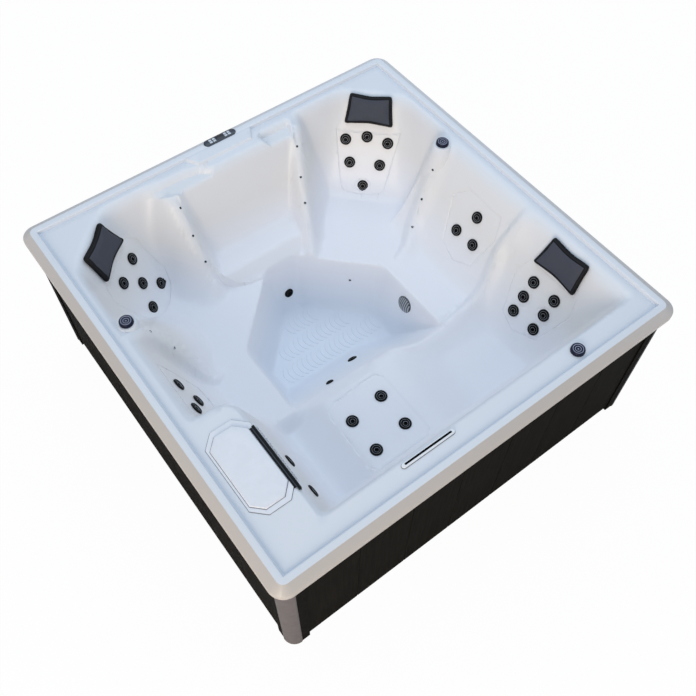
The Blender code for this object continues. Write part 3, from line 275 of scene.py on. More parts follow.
boards, nodes, links = new_material("charcoal_boards")
shader = nodes["Principled BSDF"]
streak = grain(nodes, links, 14.0, 8.0, (9.0, 9.0, 0.35))
streaked = ramp_of(nodes, links, streak, (0.35, PANEL_STREAK), (0.68, PANEL_COLOUR))
links.new(streaked, shader.inputs["Base Color"])
shader.inputs["Roughness"].default_value = PANEL_ROUGHNESS
shader.inputs["Specular IOR Level"].default_value = PANEL_SHINE
relief_from(nodes, links, streak, 0.35, 0.0008)
for side in ("front", "back", "left", "right"):
    dress("panel_" + side, boards)


# Corner posts. Extruded plastic corners in charcoal, each with a rounded charcoal band
# clipped round the bend; screwed over the panels' edges. The front left band is
# grey, a painted highlight for the light that falls on that corner.
POST_OUTER = 1.040
POST_LEG = 0.100
POST_WALL = 0.016
POST_BEND = 0.055
POST_BAND = 0.003
POST_TOP = 0.798
POST_STEPS = 14
BAND_OVERLAP = 0.004
BAND_EDGE = 0.3
BAND_SEAT = 0.0002


def piece(name, mesh, *materials):
    """A finished piece at the origin, with its place in its mesh."""
    for made in materials:
        mesh.materials.append(made)
    item = bpy.data.objects.new(name, mesh)
    bpy.context.scene.collection.objects.link(item)
    return item


def fitted(name, mesh, materials, body, slot, *replaced):
    """A finished piece on its body, in place of the CAD nodes named; its slot is not used."""
    item = piece(name, mesh, *materials)
    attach(item, body)
    if replaced:
        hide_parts(*replaced)
    return item


def mesh_from(work, name, smooth_degrees=35, place=None):
    """The plain mesh of some work, moved to its place, with its sharp edges kept."""
    if place is not None:
        bmesh.ops.transform(work, matrix=place, verts=work.verts)
    bmesh.ops.recalc_face_normals(work, faces=work.faces)
    mesh = bpy.data.meshes.new(name)
    work.to_mesh(mesh)
    work.free()
    if smooth_degrees is not None:
        mesh.shade_smooth()
        mesh.set_sharp_from_angle(angle=math.radians(smooth_degrees))
    return mesh


def prism(work, outline, low, high):
    """A straight bar with the outline as its section, from one level to another."""
    ring = [work.verts.new((x, y, low)) for x, y in outline]
    raised = bmesh.ops.extrude_face_region(work, geom=[work.faces.new(ring)])["geom"]
    for vert in (g for g in raised if isinstance(g, bmesh.types.BMVert)):
        vert.co.z = high
    return work


def bevelled(work, width, segments, degrees=40):
    """Round every edge that is sharper than the angle."""
    bmesh.ops.recalc_face_normals(work, faces=work.faces)
    limit = math.radians(degrees)
    sharp = [e for e in work.edges if len(e.link_faces) == 2 and e.calc_face_angle() > limit]
    bmesh.ops.bevel(work, geom=sharp, offset=width, segments=segments, affect="EDGES", profile=0.5)
    return work


def bend_points(radius):
    """Points round the post's bend, at a radius from its centre."""
    centre = POST_OUTER - POST_BEND
    turns = [math.pi / 2 * (1 - step / POST_STEPS) for step in range(POST_STEPS + 1)]
    return [(centre + radius * math.cos(t), centre + radius * math.sin(t)) for t in turns]


post_inner = POST_OUTER - POST_WALL
leg_end = POST_OUTER - POST_LEG
flange = [(leg_end, POST_OUTER)] + bend_points(POST_BEND)
flange += [(POST_OUTER, leg_end), (post_inner, leg_end)]
flange += list(reversed(bend_points(POST_BEND - POST_WALL))) + [(leg_end, post_inner)]
lap = POST_OUTER - POST_BEND - BAND_OVERLAP
band_edge = POST_OUTER + POST_BAND * BAND_EDGE
band_seat = POST_OUTER + BAND_SEAT
band = [(lap, band_edge)] + bend_points(POST_BEND + POST_BAND)
band += [(band_edge, lap), (band_seat, lap)]
band += list(reversed(bend_points(POST_BEND + BAND_SEAT))) + [(lap, band_seat)]
post_look = moulded("corner_charcoal", (0.005, 0.004, 0.003), 0.70, scale=700.0, relief=0.15, shine=0.03)
band_skin = {"scale": 500.0, "relief": 0.18, "contrast": 0.06}
band_painted_highlight = moulded("corner_band_painted_highlight", (0.118, 0.100, 0.100), 0.50, shine=0.3, **band_skin)
band_dark = moulded("corner_band_charcoal", (0.020, 0.017, 0.016), 0.50, shine=0.1, **band_skin)
for quarter, corner in enumerate(("rear_right", "rear_left", "front_left", "front_right")):
    turn = Matrix.Rotation(quarter * math.pi / 2, 4, "Z")
    # The front left band takes the painted highlight; the others keep their own charcoal
    band_look = band_painted_highlight if corner == "front_left" else band_dark
    for kind, outline, made, replaced in (
        ("post", flange, post_look, ["post_" + corner]),
        ("band", band, band_look, []),
    ):
        mesh = mesh_from(prism(bmesh.new(), outline, 0.0, POST_TOP), kind, 30, turn)
        fitted("%s_%s" % (kind, corner), mesh, [made], "tub", "corner", *replaced)


# Shell. One sheet of white acrylic, heated and drawn by vacuum into the mould,
# then backed with glass fibre: seats, lounger, footwell, filter bay and rim.
HALF = 1.065
RIM_TOP = 0.850
DECK = 0.835
WALL = 0.008
RIM_DEPTH = 0.050
RIM_CORNER = 0.070
DECK_EDGE = 0.986
SEAT_LEVEL = 0.385
FOOT_LEVEL = 0.075
FOOT_RIM = 0.370
SEAT_ROUND = 0.100
STEP_ROUND = 0.045
ARM_ROUNDS = (0.070, 0.160, 0.115, 0.070, 0.070)
CREST_NEAR = 0.004
CREST_PULL = 24
DECK_ROUND = 0.055
DECK_ROUND_FRONT = 0.050
FRONT_ROUND_FROM = 0.60
FRONT_ROUND_TO = 0.80
# Walls: outward angle, distance of the top edge from the middle, and tilt
LEFT_BACK = (180, 0.930, 26)
RIGHT_BACK = (0, 0.930, 32)
REAR_LEFT_BACK = (135, 1.160, 32)
REAR_RIGHT_BACK = (45, 1.170, 32)
LEFT_CORNER_WALL = (180, 0.950, 20)
RIGHT_CORNER_WALL = (0, 0.950, 20)
REAR_WALL = (90, 0.950, 20)
FRONT_WALL = (270, 0.890, 17)
LEFT_CORNER_FROM = 0.266
RIGHT_CORNER_FROM = 0.373
COOL_BACK = (90, 0.865, 21)
PLATEAU_WALL = (180, 0.745, 20)
FOOT_LEFT = (180, 0.450, 18)
FOOT_RIGHT = (0, 0.400, 14)
FOOT_REAR = (90, 0.487, 14)
FOOT_REAR_LEFT = (135, 0.424, 14)
FOOT_REAR_RIGHT = (45, 0.395, 14)
FOOT_FRONT = (270, 0.240, 38)
FOOT_FRONT_RIGHT = 0.290
FOOT_FRONT_FROM = 0.085
FOOT_FRONT_TO = 0.256
FOOT_ROUND = 0.100
FOOT_FRONT_ROUND = 0.035
FOOT_RIM_ROUND = 0.026
# Crests of the armrests: half widths at start and end, tilts of the left and
# right sides, then the line that each crest follows
ARMS = (
    (0.045, 0.018, 42, 16, ((-0.960, 0.270, DECK), (-0.900, 0.268, DECK), (-0.835, 0.262, 0.750),
                            (-0.772, 0.215, 0.640), (-0.700, 0.135, 0.470), (-0.665, 0.105, 0.390))),
    (0.036, 0.018, 14, 30, ((-0.375, 0.950, DECK), (-0.374, 0.880, DECK), (-0.373, 0.800, 0.775),
                            (-0.375, 0.700, 0.655), (-0.371, 0.620, 0.545), (-0.368, 0.560, 0.445))),
    (0.034, 0.015, 16, 13, ((0.385, 0.950, DECK), (0.375, 0.900, DECK), (0.341, 0.828, 0.775),
                            (0.280, 0.713, 0.655), (0.240, 0.624, 0.565), (0.195, 0.530, 0.480),
                            (0.150, 0.455, 0.400), (0.130, 0.425, 0.360))),
    (0.040, 0.014, 46, 14, ((0.950, 0.365, DECK), (0.905, 0.340, DECK), (0.835, 0.311, 0.725),
                            (0.786, 0.294, 0.650), (0.736, 0.275, 0.575), (0.696, 0.258, 0.510),
                            (0.650, 0.233, 0.455), (0.571, 0.183, 0.405), (0.500, 0.160, 0.375))),
    (0.022, 0.012, 48, 12, ((0.985, -0.250, DECK), (0.940, -0.249, DECK), (0.877, -0.249, 0.785),
                            (0.817, -0.243, 0.704), (0.778, -0.252, 0.647), (0.744, -0.268, 0.595),
                            (0.703, -0.282, 0.531), (0.656, -0.290, 0.468), (0.580, -0.296, 0.420),
                            (0.485, -0.306, 0.408), (0.367, -0.312, 0.400), (0.228, -0.304, 0.405),
                            (0.119, -0.270, 0.405), (0.004, -0.255, 0.410))),
)
COOL_SEAT = (
    (-0.345, 0.950), (-0.345, 0.660), (-0.338, 0.600), (-0.315, 0.550), (-0.275, 0.510), (-0.210, 0.480),
    (0.130, 0.440), (0.185, 0.530), (0.230, 0.624), (0.270, 0.713), (0.330, 0.828), (0.350, 0.950),
)
COOL_LEVEL = 0.455
COOL_SIDE_TILT = 10
COOL_EDGE_DROP = 0.075
COOL_EDGE_FROM = 0.560
COOL_EDGE_TO = 0.470
PLATEAU_Y = 0.252
PLATEAU_CORNER = 0.085
KNOBS = (("valve_left", -0.907, 0.316), ("valve_right", 0.888, 0.331), ("valve_front", 0.546, -0.946))
KNOB_PAD = 0.042
KNOB_PAD_FALL = 4.0
BAY_CENTRE = (-0.862, -0.560)
BAY_HALF = (0.068, 0.155)
BAY_FLOOR = 0.480
BAY_DRAFT = 0.010
GATE_HALF = 0.143
GATE_SILL = 0.725
GATE_EDGE = -0.735
LOUNGER_LINE = ((-0.520, 0.330), (-0.320, 0.420), (0.032, 0.420), (0.320, 0.350))
LOUNGER_FROM = 0.255
LOUNGER_TO = 0.325
FAR = 9.0


def soft_min(first, second, radius):
    """The lower of two surfaces, blended where they meet."""
    overlap = np.maximum(radius - np.abs(first - second), 0.0) / radius
    return np.minimum(first, second) - overlap * overlap * radius / 4


def soft_max(first, second, radius):
    """The higher of two surfaces, blended where they meet."""
    return -soft_min(-first, -second, radius)


def ease(value, low, high):
    """0 up to low, 1 from high, and a smooth rise between them."""
    share = np.clip((value - low) / (high - low), 0.0, 1.0)
    return share * share * (3 - 2 * share)


def mix(low, high, share):
    """The value a share of the way from low to high."""
    return low + (high - low) * share


def slope(x, y, degrees, distance, tilt, level=DECK):
    """A wall that leans outwards, through its top edge on the deck."""
    angle = math.radians(degrees)
    outward = x * math.cos(angle) + y * math.sin(angle) - distance
    return level + outward / math.tan(math.radians(tilt))


def inside_by(px, py, outline):
    """How far points lie inside a closed outline, negative outside it."""
    nearest = np.full(px.shape, FAR)
    inside = np.zeros(px.shape, bool)
    for (ax, ay), (bx, by) in zip(outline, outline[1:] + outline[:1]):
        run_x, run_y = bx - ax, by - ay
        share = np.clip(((px - ax) * run_x + (py - ay) * run_y) / (run_x ** 2 + run_y ** 2), 0.0, 1.0)
        nearest = np.minimum(nearest, np.hypot(px - ax - share * run_x, py - ay - share * run_y))
        crosses = (ay > py) != (by > py)
        at = ax + (py - ay) / np.where(by == ay, 1e-9, by - ay) * run_x
        inside ^= crosses & (px < at)
    return np.where(inside, nearest, -nearest)


def rounded_line(line, parts=4):
    """The same line with points added along a smooth curve through its own."""
    held = [line[0]] + list(line) + [line[-1]]
    points = []
    for a, b, c, d in zip(held, held[1:], held[2:], held[3:]):
        for part in range(parts):
            t = part / parts
            points.append(tuple(
                q + 0.5 * t * (r - p + t * (2 * p - 5 * q + 4 * r - w + t * (3 * (q - r) + w - p)))
                for p, q, r, w in zip(a, b, c, d)))
    return points + [line[-1]]


def armrest(x, y, start_half, end_half, left_tilt, right_tilt, line):
    """A crest along a line, falling away by its own tilt on either side."""
    nearest = np.full_like(x, FAR)
    total, crest, half, lean = (np.zeros_like(x) for _ in range(4))
    left_lean, right_lean = (1 / math.tan(math.radians(tilt)) for tilt in (left_tilt, right_tilt))
    runs = [math.dist(a[:2], b[:2]) for a, b in zip(line, line[1:])]
    gone = 0.0
    for (x0, y0, z0), (x1, y1, z1), run in zip(line, line[1:], runs):
        run_x, run_y = (x1 - x0) / run, (y1 - y0) / run
        along = (x - x0) * run_x + (y - y0) * run_y
        share = np.clip(along / run, 0.0, 1.0)
        off_x, off_y = x - mix(x0, x1, share), y - mix(y0, y1, share)
        away = np.hypot(off_x, off_y)
        side = (run_x * off_y - run_y * off_x) / np.maximum(away, 1e-6)
        weight = run * np.maximum(away, CREST_NEAR) ** -CREST_PULL
        total += weight
        crest += weight * mix(z0, z1, share)
        half += weight * mix(start_half, end_half, (gone + share * run) / sum(runs))
        lean += weight * mix(right_lean, left_lean, ease(side, -1, 1))
        nearest = np.minimum(nearest, away)
        gone += run
    half /= total
    return crest / total - soft_max(nearest - half, 0.0 * x, half) * lean / total


def seats(x, y):
    """The floor and walls of the seats and the lounger, with their armrests."""
    lounger = ease(-y, LOUNGER_FROM, LOUNGER_TO)
    bed = np.full_like(x, LOUNGER_LINE[0][1])
    for (x0, z0), (x1, z1) in zip(LOUNGER_LINE, LOUNGER_LINE[1:]):
        bed = np.where(x > x0, mix(z0, z1, ease(x, x0, x1)), bed)
    height = mix(SEAT_LEVEL, bed, lounger)
    left = np.where(y > LEFT_CORNER_FROM, slope(x, y, *LEFT_CORNER_WALL), slope(x, y, *LEFT_BACK))
    right = np.where(y > RIGHT_CORNER_FROM, slope(x, y, *RIGHT_CORNER_WALL), slope(x, y, *RIGHT_BACK))
    others = [slope(x, y, *wall) for wall in (REAR_WALL, FRONT_WALL, REAR_LEFT_BACK, REAR_RIGHT_BACK)]
    for wall in (left, right, *others):
        height = soft_max(height, wall, SEAT_ROUND)
    outside = np.maximum(-inside_by(x, y, COOL_SEAT), 0.0)
    step = COOL_LEVEL - COOL_EDGE_DROP * ease(-y, -COOL_EDGE_FROM, -COOL_EDGE_TO)
    step = soft_max(step, slope(x, y, *COOL_BACK), SEAT_ROUND)
    step = step - outside / math.tan(math.radians(COOL_SIDE_TILT))
    height = soft_max(height, step, STEP_ROUND)
    past_x, past_y = x + PLATEAU_WALL[1], y + PLATEAU_Y
    corner = np.hypot(np.maximum(past_x + PLATEAU_CORNER, 0.0), np.maximum(past_y + PLATEAU_CORNER, 0.0))
    past = np.maximum(corner - PLATEAU_CORNER, np.maximum(past_x, past_y))
    plateau = DECK - past / math.tan(math.radians(PLATEAU_WALL[2]))
    height = soft_max(height, plateau, SEAT_ROUND)
    for row, blend_by in zip(ARMS, ARM_ROUNDS):
        height = soft_max(height, armrest(x, y, *row[:4], rounded_line(row[4])), blend_by)
    return height


def footwell(x, y):
    """The well for the feet, open at FOOT_RIM, its front wall further out on the right."""
    degrees, distance, tilt = FOOT_FRONT
    further = mix(distance, FOOT_FRONT_RIGHT, ease(x, FOOT_FRONT_FROM, FOOT_FRONT_TO))
    front = (degrees, further, tilt)
    height = np.full_like(x, FOOT_LEVEL)
    for wall in (FOOT_LEFT, FOOT_RIGHT, FOOT_REAR, front, FOOT_REAR_LEFT, FOOT_REAR_RIGHT):
        radius = FOOT_FRONT_ROUND if wall is front else FOOT_ROUND
        height = soft_max(height, slope(x, y, *wall, FOOT_RIM), radius)
    return height


# Panels drawn a little into the sheet round each group of jets: the backrest,
# then the outline by side and depth
INSETS = (
    (REAR_RIGHT_BACK, (
        (-0.170, 0.190), (-0.138, 0.353), (-0.105, 0.528), (-0.052, 0.553), (0.010, 0.560),
        (0.083, 0.551), (0.118, 0.528), (0.146, 0.380), (0.172, 0.200))),
    (REAR_LEFT_BACK, (
        (-0.150, 0.170), (-0.190, 0.235), (-0.147, 0.470), (-0.098, 0.535), (0.0, 0.560),
        (0.098, 0.535), (0.147, 0.470), (0.190, 0.235), (0.150, 0.170))),
    (RIGHT_BACK, (
        (0.080, 0.115), (0.145, 0.186), (0.064, 0.415), (-0.051, 0.464), (-0.152, 0.419),
        (-0.188, 0.230), (-0.150, 0.120))),
    (RIGHT_BACK, (
        (-0.400, 0.172), (-0.368, 0.258), (-0.438, 0.471), (-0.536, 0.516), (-0.663, 0.463),
        (-0.730, 0.258), (-0.698, 0.172))),
    (LEFT_BACK, (
        (-0.106, 0.070), (-0.084, 0.215), (-0.047, 0.357), (0.030, 0.392), (0.170, 0.380),
        (0.205, 0.200), (0.190, 0.070))),
)
INSET_DEPTH = 0.0020
INSET_EDGE = 0.005
GROOVE_DEPTH = 0.0022
RINGS = ((REAR_RIGHT_BACK, 0.006, 0.487), (RIGHT_BACK, -0.483, 0.343), (RIGHT_BACK, -0.621, 0.343))
RING_RADIUS = 0.043
CALF_INSET = (
    (-0.130, -0.340), (-0.330, -0.350), (-0.350, -0.390), (-0.362, -0.700), (-0.330, -0.740),
    (-0.060, -0.740), (-0.020, -0.700), (-0.020, -0.380), (-0.050, -0.340),
)


def groove_profile(depth):
    """Depth across a fine groove that runs along an outline."""
    return np.maximum(1 - (depth / INSET_EDGE) ** 2, 0.0) ** 2 * GROOVE_DEPTH


def panel_profile(depth):
    """Depth across a panel's edge: a fine groove, then the sunk face."""
    return groove_profile(depth) + ease(depth, -INSET_EDGE / 2, INSET_EDGE / 2) * INSET_DEPTH


def on_wall(x, y, degrees, distance, tilt):
    """Side and depth along a backrest's face for points of the plan."""
    angle, lean = math.radians(degrees), math.sin(math.radians(tilt))
    side = -x * math.sin(angle) + y * math.cos(angle)
    return side, (distance - x * math.cos(angle) - y * math.sin(angle)) / lean, lean


def inset_depths(x, y):
    """Depth of each inset panel at a point, and how near its edge is."""
    drop = np.zeros_like(x)
    near = np.full_like(x, FAR)
    for wall, outline in INSETS:
        side, down, lean = on_wall(x, y, *wall)
        depth = inside_by(side, down, outline)
        drop += panel_profile(depth) / lean
        near = np.minimum(near, np.abs(depth))
    for wall, ring_side, ring_down in RINGS:
        side, down, lean = on_wall(x, y, *wall)
        depth = RING_RADIUS - np.hypot(side - ring_side, down - ring_down)
        drop += groove_profile(depth) / lean
        near = np.minimum(near, np.abs(depth))
    depth = inside_by(x, y, CALF_INSET)
    drop += panel_profile(depth)
    return drop, np.minimum(near, np.abs(depth))


TAB_MIDDLE = -0.015
TAB_HALF = 0.181
TAB_FRONT = 0.932
TAB_FROM = 0.90
TAB_TO = 1.0
TAB_SLANT = 0.55
TAB_DROP = 0.001
TAB_EDGE = 0.012
TAB_FALL = 3
SCOOPS = (
    ((-0.468, 0.922), (-0.355, 0.922), (-0.272, 0.920), (-0.187, 0.906), (-0.143, 0.870), (-0.156, 0.826),
     (-0.193, 0.800), (-0.264, 0.812), (-0.320, 0.846), (-0.386, 0.866), (-0.446, 0.900)),
    ((0.193, 0.922), (0.200, 0.880), (0.215, 0.822), (0.260, 0.828), (0.329, 0.850), (0.345, 0.900),
     (0.348, 0.922)),
)
SCOOP_LEVEL = 0.805
SCOOP_SIDE = 1.6
SCOOP_ROUND = 0.020


def keypad_tab(x, y):
    """The lip reaches into the tub round the keypad, a long trapezium."""
    beside = np.abs(x - TAB_MIDDLE) - TAB_HALF + (DECK_EDGE - y) * TAB_SLANT
    reach = np.maximum(beside, TAB_FRONT - y)
    edge = ease(reach, 0.0, TAB_EDGE) * (RIM_TOP - DECK)
    return RIM_TOP - TAB_DROP - edge - np.maximum(reach - TAB_EDGE, 0.0) * TAB_FALL


def moulded_height(x, y):
    """Height of the sheet's face over the plan, inside the rim."""
    edge = mix(DECK_ROUND, DECK_ROUND_FRONT, ease(-y, FRONT_ROUND_FROM, FRONT_ROUND_TO))
    height = soft_min(seats(x, y), DECK + 0.0 * x, edge)
    for _, knob_x, knob_y in KNOBS:
        pad = DECK - np.maximum(np.hypot(x - knob_x, y - knob_y) - KNOB_PAD, 0.0) * KNOB_PAD_FALL
        height = np.maximum(height, pad)
    height = soft_min(height, footwell(x, y), FOOT_RIM_ROUND)
    for outline in SCOOPS:
        ledge = SCOOP_LEVEL + np.maximum(-inside_by(x, y, outline), 0.0) * SCOOP_SIDE
        height = soft_min(height, ledge, SCOOP_ROUND)
    height = height - inset_depths(x, y)[0]
    off_x, off_y = np.abs(x - BAY_CENTRE[0]), np.abs(y - BAY_CENTRE[1])
    outside = np.maximum(off_x - BAY_HALF[0], off_y - BAY_HALF[1])
    well = np.where(outside <= 0, BAY_FLOOR, mix(BAY_FLOOR, RIM_TOP, np.clip(outside / BAY_DRAFT, 0.0, 1.0)))
    gate = (off_y < GATE_HALF + BAY_DRAFT / 2) & (x > BAY_CENTRE[0]) & (x < GATE_EDGE)
    well = np.where(gate, np.minimum(well, GATE_SILL), well)
    return np.minimum(height, well)


def arc(centre, radius, first, last, steps):
    """Points along an arc about a centre, from the first angle to the last, in degrees."""
    turns = [math.radians(first + (last - first) * step / steps) for step in range(steps + 1)]
    return [(centre[0] + radius * math.cos(t), centre[1] + radius * math.sin(t)) for t in turns]


# Section of the rim from the deck outwards, as distance and height
RIM_LINE = [(DECK_EDGE, DECK), (0.9882, 0.8338), (0.9908, 0.8340), (0.9928, 0.8375), (0.9940, 0.8440)]
RIM_LINE += arc((0.9995, RIM_TOP - 0.0055), 0.0055, 165, 90, 3)
RIM_LINE += arc((1.0240, RIM_TOP - 0.0050), 0.0050, 90, 52, 3)
RIM_LINE += arc((1.0560, 0.8200), 0.0090, 50, 0, 5)
RIM_LINE += [(HALF, 0.8110), (1.0636, 0.8095), (1.0636, 0.8075), (HALF, 0.8060), (HALF, RIM_TOP - RIM_DEPTH)]
rim_run = np.concatenate([[0.0], np.cumsum([math.dist(a, b) for a, b in zip(RIM_LINE, RIM_LINE[1:])])])
rim_out = np.array([point[0] for point in RIM_LINE])
rim_up = np.array([point[1] for point in RIM_LINE])


def shell_points(flat):
    """The moulded sheet over a flat square: tub inside, rim beyond the deck."""
    u, v = flat[:, 0], flat[:, 1]
    ring = np.maximum(np.abs(u), np.abs(v))
    beyond = np.maximum(ring - DECK_EDGE, 0.0)
    out = np.interp(beyond, rim_run, rim_out)
    scale = np.where(beyond > 0, out / np.maximum(ring, DECK_EDGE), 1.0)
    x, y = u * scale, v * scale
    z = np.where(beyond > 0, np.interp(beyond, rim_run, rim_up), 0.0)
    inner = beyond <= 0
    z[inner] = moulded_height(x[inner], y[inner])
    z = np.where((y > TAB_FROM) & (y < TAB_TO), np.maximum(z, keypad_tab(x, y)), z)
    centre = HALF - RIM_CORNER
    dx, dy = np.abs(x) - centre, np.abs(y) - centre
    bend = (dx > 0) & (dy > 0)
    pull = np.where(bend, np.maximum(dx, dy) / np.maximum(np.hypot(dx, dy), 1e-9), 1.0)
    x = np.where(bend, np.sign(x) * (centre + dx * pull), x)
    y = np.where(bend, np.sign(y) * (centre + dy * pull), y)
    return np.stack((x, y, z), 1)


def wall_place(degrees, distance, tilt, side, down, level=DECK):
    """Frame on a backrest: Z out of the wall, Y up its slope."""
    angle, lean = math.radians(degrees), math.radians(tilt)
    outward = Vector((math.cos(angle), math.sin(angle), 0.0))
    along = Vector((-math.sin(angle), math.cos(angle), 0.0))
    normal = Vector((0.0, 0.0, math.sin(lean))) - outward * math.cos(lean)
    fall = Vector((0.0, 0.0, -math.cos(lean))) - outward * math.sin(lean)
    spot = outward * distance + Vector((0.0, 0.0, level)) + along * side + fall * down
    x_axis = Vector((0.0, 0.0, 1.0)).cross(normal).normalized()
    turn = Matrix((x_axis, normal.cross(x_axis), normal)).transposed().to_4x4()
    return Matrix.Translation(spot) @ turn


# Jet places: name, backrest, middle of the group, pitch, shares of the pitch;
# the calf jets lie in the lounger's level bed
CALF_LEVEL = 0.420
JET_HOLE = 0.0235
KNOB_HOLE = 0.0175
SUCTION_HOLE = 0.0290
RETURN_HOLE = 0.0160
HOLE_REACH = 0.03

JET_PLACES = []
for name, wall, middle, pitch, shares in (
    ("jet_rear_left", REAR_LEFT_BACK, (-0.006, 0.352), (0.148, 0.206),
     ((-0.5, -0.5), (0.5, -0.5), (0.0, 0.0), (-0.5, 0.5), (0.5, 0.5))),
    ("jet_rear_right", REAR_RIGHT_BACK, (0.006, 0.366), (0.114, 0.121),
     ((1.0, -1.0), (0.0, -1.2), (-1.0, -1.0), (0.72, 0.0), (-0.72, 0.0), (0.0, 1.0))),
    ("jet_right", RIGHT_BACK, (-0.040, 0.266), (0.122, 0.124), ((0.0, -0.5), (0.5, 0.5), (-0.5, 0.5))),
    ("jet_lounger", RIGHT_BACK, (-0.552, 0.343), (0.138, 0.090),
     ((0.5, -1.0), (0.5, 0.0), (0.5, 1.0), (-0.5, -1.0), (-0.5, 0.0), (-0.5, 1.0))),
    ("jet_left", LEFT_BACK, (0.074, 0.198), (0.144, 0.091), ((-0.5, -0.5), (0.5, -0.5), (0.0, 0.5))),
    ("jet_foot", PLATEAU_WALL, (0.640, 0.205), (0.165, 0.100), ((-0.5, 0.0), (0.5, 0.0))),
    ("jet_calf", None, (-0.1905, -0.5518), (-0.186, -0.178),
     ((-0.5, -0.57), (0.5, -0.43), (-0.5, 0.43), (0.5, 0.57))),
):
    for number, (side, down) in enumerate(shares, 1):
        spot = (middle[0] + side * pitch[0], middle[1] + down * pitch[1])
        jet_place = wall_place(*wall, *spot) if wall else Matrix.Translation((*spot, CALF_LEVEL))
        JET_PLACES.append(("%s_%d" % (name, number), jet_place))
SUCTION_PLACE = wall_place(*FOOT_RIGHT, -0.048, 0.0742, FOOT_RIM)
RETURN_PLACES = (
    wall_place(*FOOT_REAR, 0.014, 0.1907, FOOT_RIM),
    wall_place(*FOOT_FRONT, 0.005, 0.2284, FOOT_RIM),
    wall_place(*FOOT_FRONT, -0.213, 0.0571, FOOT_RIM),
)
HOLES = [(item, JET_HOLE) for _, item in JET_PLACES]
HOLES += [(Matrix.Translation((x, y, DECK)), KNOB_HOLE) for _, x, y in KNOBS]
HOLES += [(SUCTION_PLACE, SUCTION_HOLE)] + [(item, RETURN_HOLE) for item in RETURN_PLACES]


def near_hole(points):
    """Distance outside the nearest fitting's hole, across its axis."""
    nearest = np.full(len(points), FAR)
    for item, radius in HOLES:
        local = (points - np.array(item.translation)) @ np.array(item.to_3x3())
        outside = np.minimum(nearest, np.hypot(local[:, 0], local[:, 1]) - radius)
        nearest = np.where(np.abs(local[:, 2]) < HOLE_REACH, outside, nearest)
    return nearest


# How finely the sheet is split: largest strays from the form, then edge lengths
BEND_ERROR = 0.00090
RIM_ERROR = 0.00030
HOLE_EDGE = 0.0065
HOLE_MARGIN = 0.002
INSET_LINE_EDGE = 0.020
SHORTEST_EDGE = 0.0035
COARSE_CELL = 0.030
SPLIT_ROUNDS = 9
NORMAL_STEP = 0.0004
SHEET_CREASE = 38
SMOOTH_AGREEMENT = 0.97
RIM_MARGIN = 0.0001


def grid_lines(fixed):
    """Lines of the first coarse grid along one side, with some held in their places."""
    count = round(2 * DECK_EDGE / COARSE_CELL)
    lines = [mix(-DECK_EDGE, DECK_EDGE, step / count) for step in range(count + 1)]
    lines = [line for line in lines if min(abs(line - value) for value in fixed) > COARSE_CELL / 3]
    beyond = [DECK_EDGE + run for run in rim_run[1:]]
    return np.array([-line for line in reversed(beyond)] + sorted(lines + list(fixed)) + beyond)


def matched(pairs, count):
    """Each edge once, by one key, with its place in the list and its uses."""
    ordered = np.sort(pairs, 1)
    edge_keys = ordered[:, 0] * count + ordered[:, 1]
    keys, where, uses = np.unique(edge_keys, return_inverse=True, return_counts=True)
    return keys, where.reshape(-1), uses.reshape(-1)


side_lines = [BAY_CENTRE[0] + way * (BAY_HALF[0] + draft) for way in (-1, 1) for draft in (0.0, BAY_DRAFT)]
end_reaches = (GATE_HALF, GATE_HALF + BAY_DRAFT / 2, BAY_HALF[1], BAY_HALF[1] + BAY_DRAFT)
end_lines = [BAY_CENTRE[1] + way * reach for way in (-1, 1) for reach in end_reaches]
xs, ys = grid_lines(side_lines), grid_lines(end_lines)
flat = np.stack(np.meshgrid(xs, ys, indexing="ij"), -1).reshape(-1, 2)
cells = np.arange(len(xs) * len(ys)).reshape(len(xs), len(ys))
a, b, c, d = (q.ravel() for q in (cells[:-1, :-1], cells[1:, :-1], cells[1:, 1:], cells[:-1, 1:]))
faces = np.concatenate((np.stack((a, b, c), 1), np.stack((a, c, d), 1)))
points = shell_points(flat)

